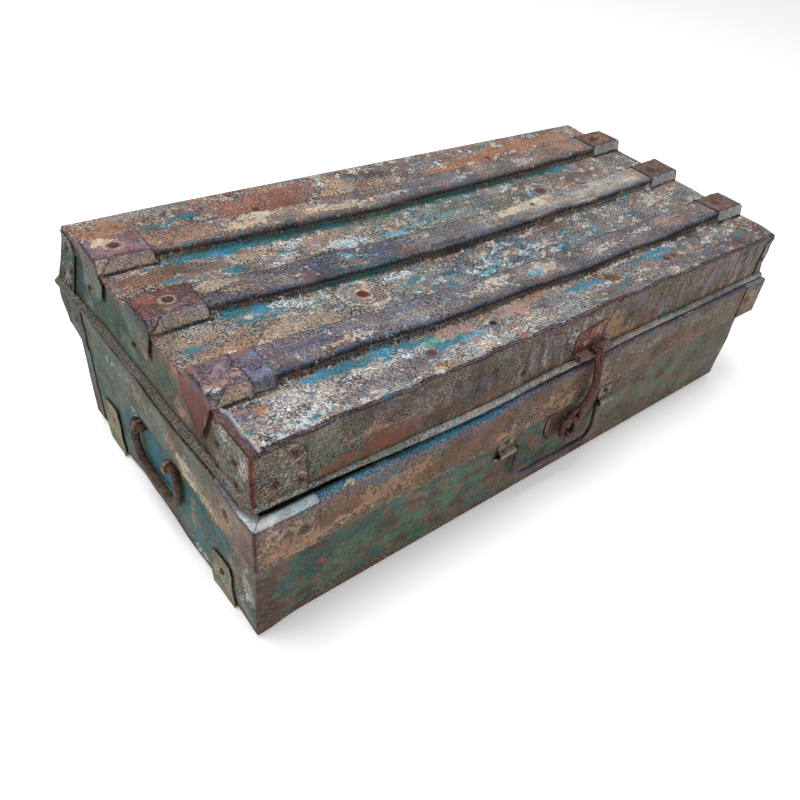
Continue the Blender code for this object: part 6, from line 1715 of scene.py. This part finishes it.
# Stage
def make_stage():
    """A pale floor, a white world that the camera sees, and soft lights from above and the front."""
    mesh = bpy.data.meshes.new("floor")
    mesh.from_pydata([(-6, -6, 0), (6, -6, 0), (6, 6, 0), (-6, 6, 0)], [], [(0, 1, 2, 3)])
    floor = bpy.data.objects.new("floor", mesh)
    bpy.context.scene.collection.objects.link(floor)
    material = bpy.data.materials.new("floor_white")
    material.use_nodes = True
    shader = material.node_tree.nodes["Principled BSDF"]
    shader.inputs["Base Color"].default_value = (0.93, 0.93, 0.93, 1)
    shader.inputs["Emission Color"].default_value = (1, 1, 1, 1)
    shader.inputs["Emission Strength"].default_value = 0.22
    shader.inputs["Roughness"].default_value = 0.9
    shader.inputs["Specular IOR Level"].default_value = 0.1
    mesh.materials.append(material)
    world = bpy.data.worlds.new("studio")
    bpy.context.scene.world = world
    world.use_nodes = True
    tree = world.node_tree
    tree.nodes.clear()
    output = put(tree, "ShaderNodeOutputWorld")
    lit, seen = put(tree, "ShaderNodeBackground"), put(tree, "ShaderNodeBackground")
    mixed = put(tree, "ShaderNodeMixShader")
    lit.inputs["Color"].default_value = (0.98, 0.99, 1.0, 1)
    lit.inputs["Strength"].default_value = 0.62
    seen.inputs["Color"].default_value = (1, 1, 1, 1)
    seen.inputs["Strength"].default_value = 1.0
    ray = put(tree, "ShaderNodeLightPath")
    tree.links.new(ray.outputs["Is Camera Ray"], mixed.inputs[0])
    tree.links.new(lit.outputs[0], mixed.inputs[1])
    tree.links.new(seen.outputs[0], mixed.inputs[2])
    tree.links.new(mixed.outputs[0], output.inputs[0])
    for name, place, aim, size, energy in (
        ("key", (-0.5, 0.1, 2.2), (0, 0, 0.15), 1.3, 36), ("fill", (0.6, -2.4, 1.3), (0, 0, 0.1), 1.6, 9),
    ):
        lamp = bpy.data.lights.new(name, "AREA")
        lamp.shape = "DISK"
        lamp.size = size
        lamp.energy = energy
        light = bpy.data.objects.new(name, lamp)
        bpy.context.scene.collection.objects.link(light)
        light.location = place
        light.rotation_euler = (Vector(aim) - Vector(place)).to_track_quat("-Z", "Y").to_euler()


def make_camera():
    """The photograph's camera, found from the corners of the lid, the band and the base."""
    turn, height, roll = (math.radians(value) for value in (49.07, 38.356, 11.324))
    ahead = Vector((math.cos(height) * math.sin(turn), math.cos(height) * math.cos(turn), -math.sin(height)))
    sideways = Vector((math.cos(turn), -math.sin(turn), 0))
    above = sideways.cross(ahead)
    right = math.cos(roll) * sideways + math.sin(roll) * above
    up = math.cos(roll) * above - math.sin(roll) * sideways
    data = bpy.data.cameras.new("camera")
    camera = bpy.data.objects.new("camera", data)
    bpy.context.scene.collection.objects.link(camera)
    camera.matrix_world = Matrix((
        (right.x, up.x, -ahead.x, -0.44702), (right.y, up.y, -ahead.y, -0.44832),
        (right.z, up.z, -ahead.z, 0.52777), (0, 0, 0, 1)))
    data.lens, data.sensor_width = 34.457, 36
    data.shift_x, data.shift_y, data.clip_start = -0.1093, -0.0227, 0.01
    bpy.context.scene.camera = camera
    view = bpy.context.scene.view_settings
    view.view_transform = "Standard"


make_stage()
make_camera()
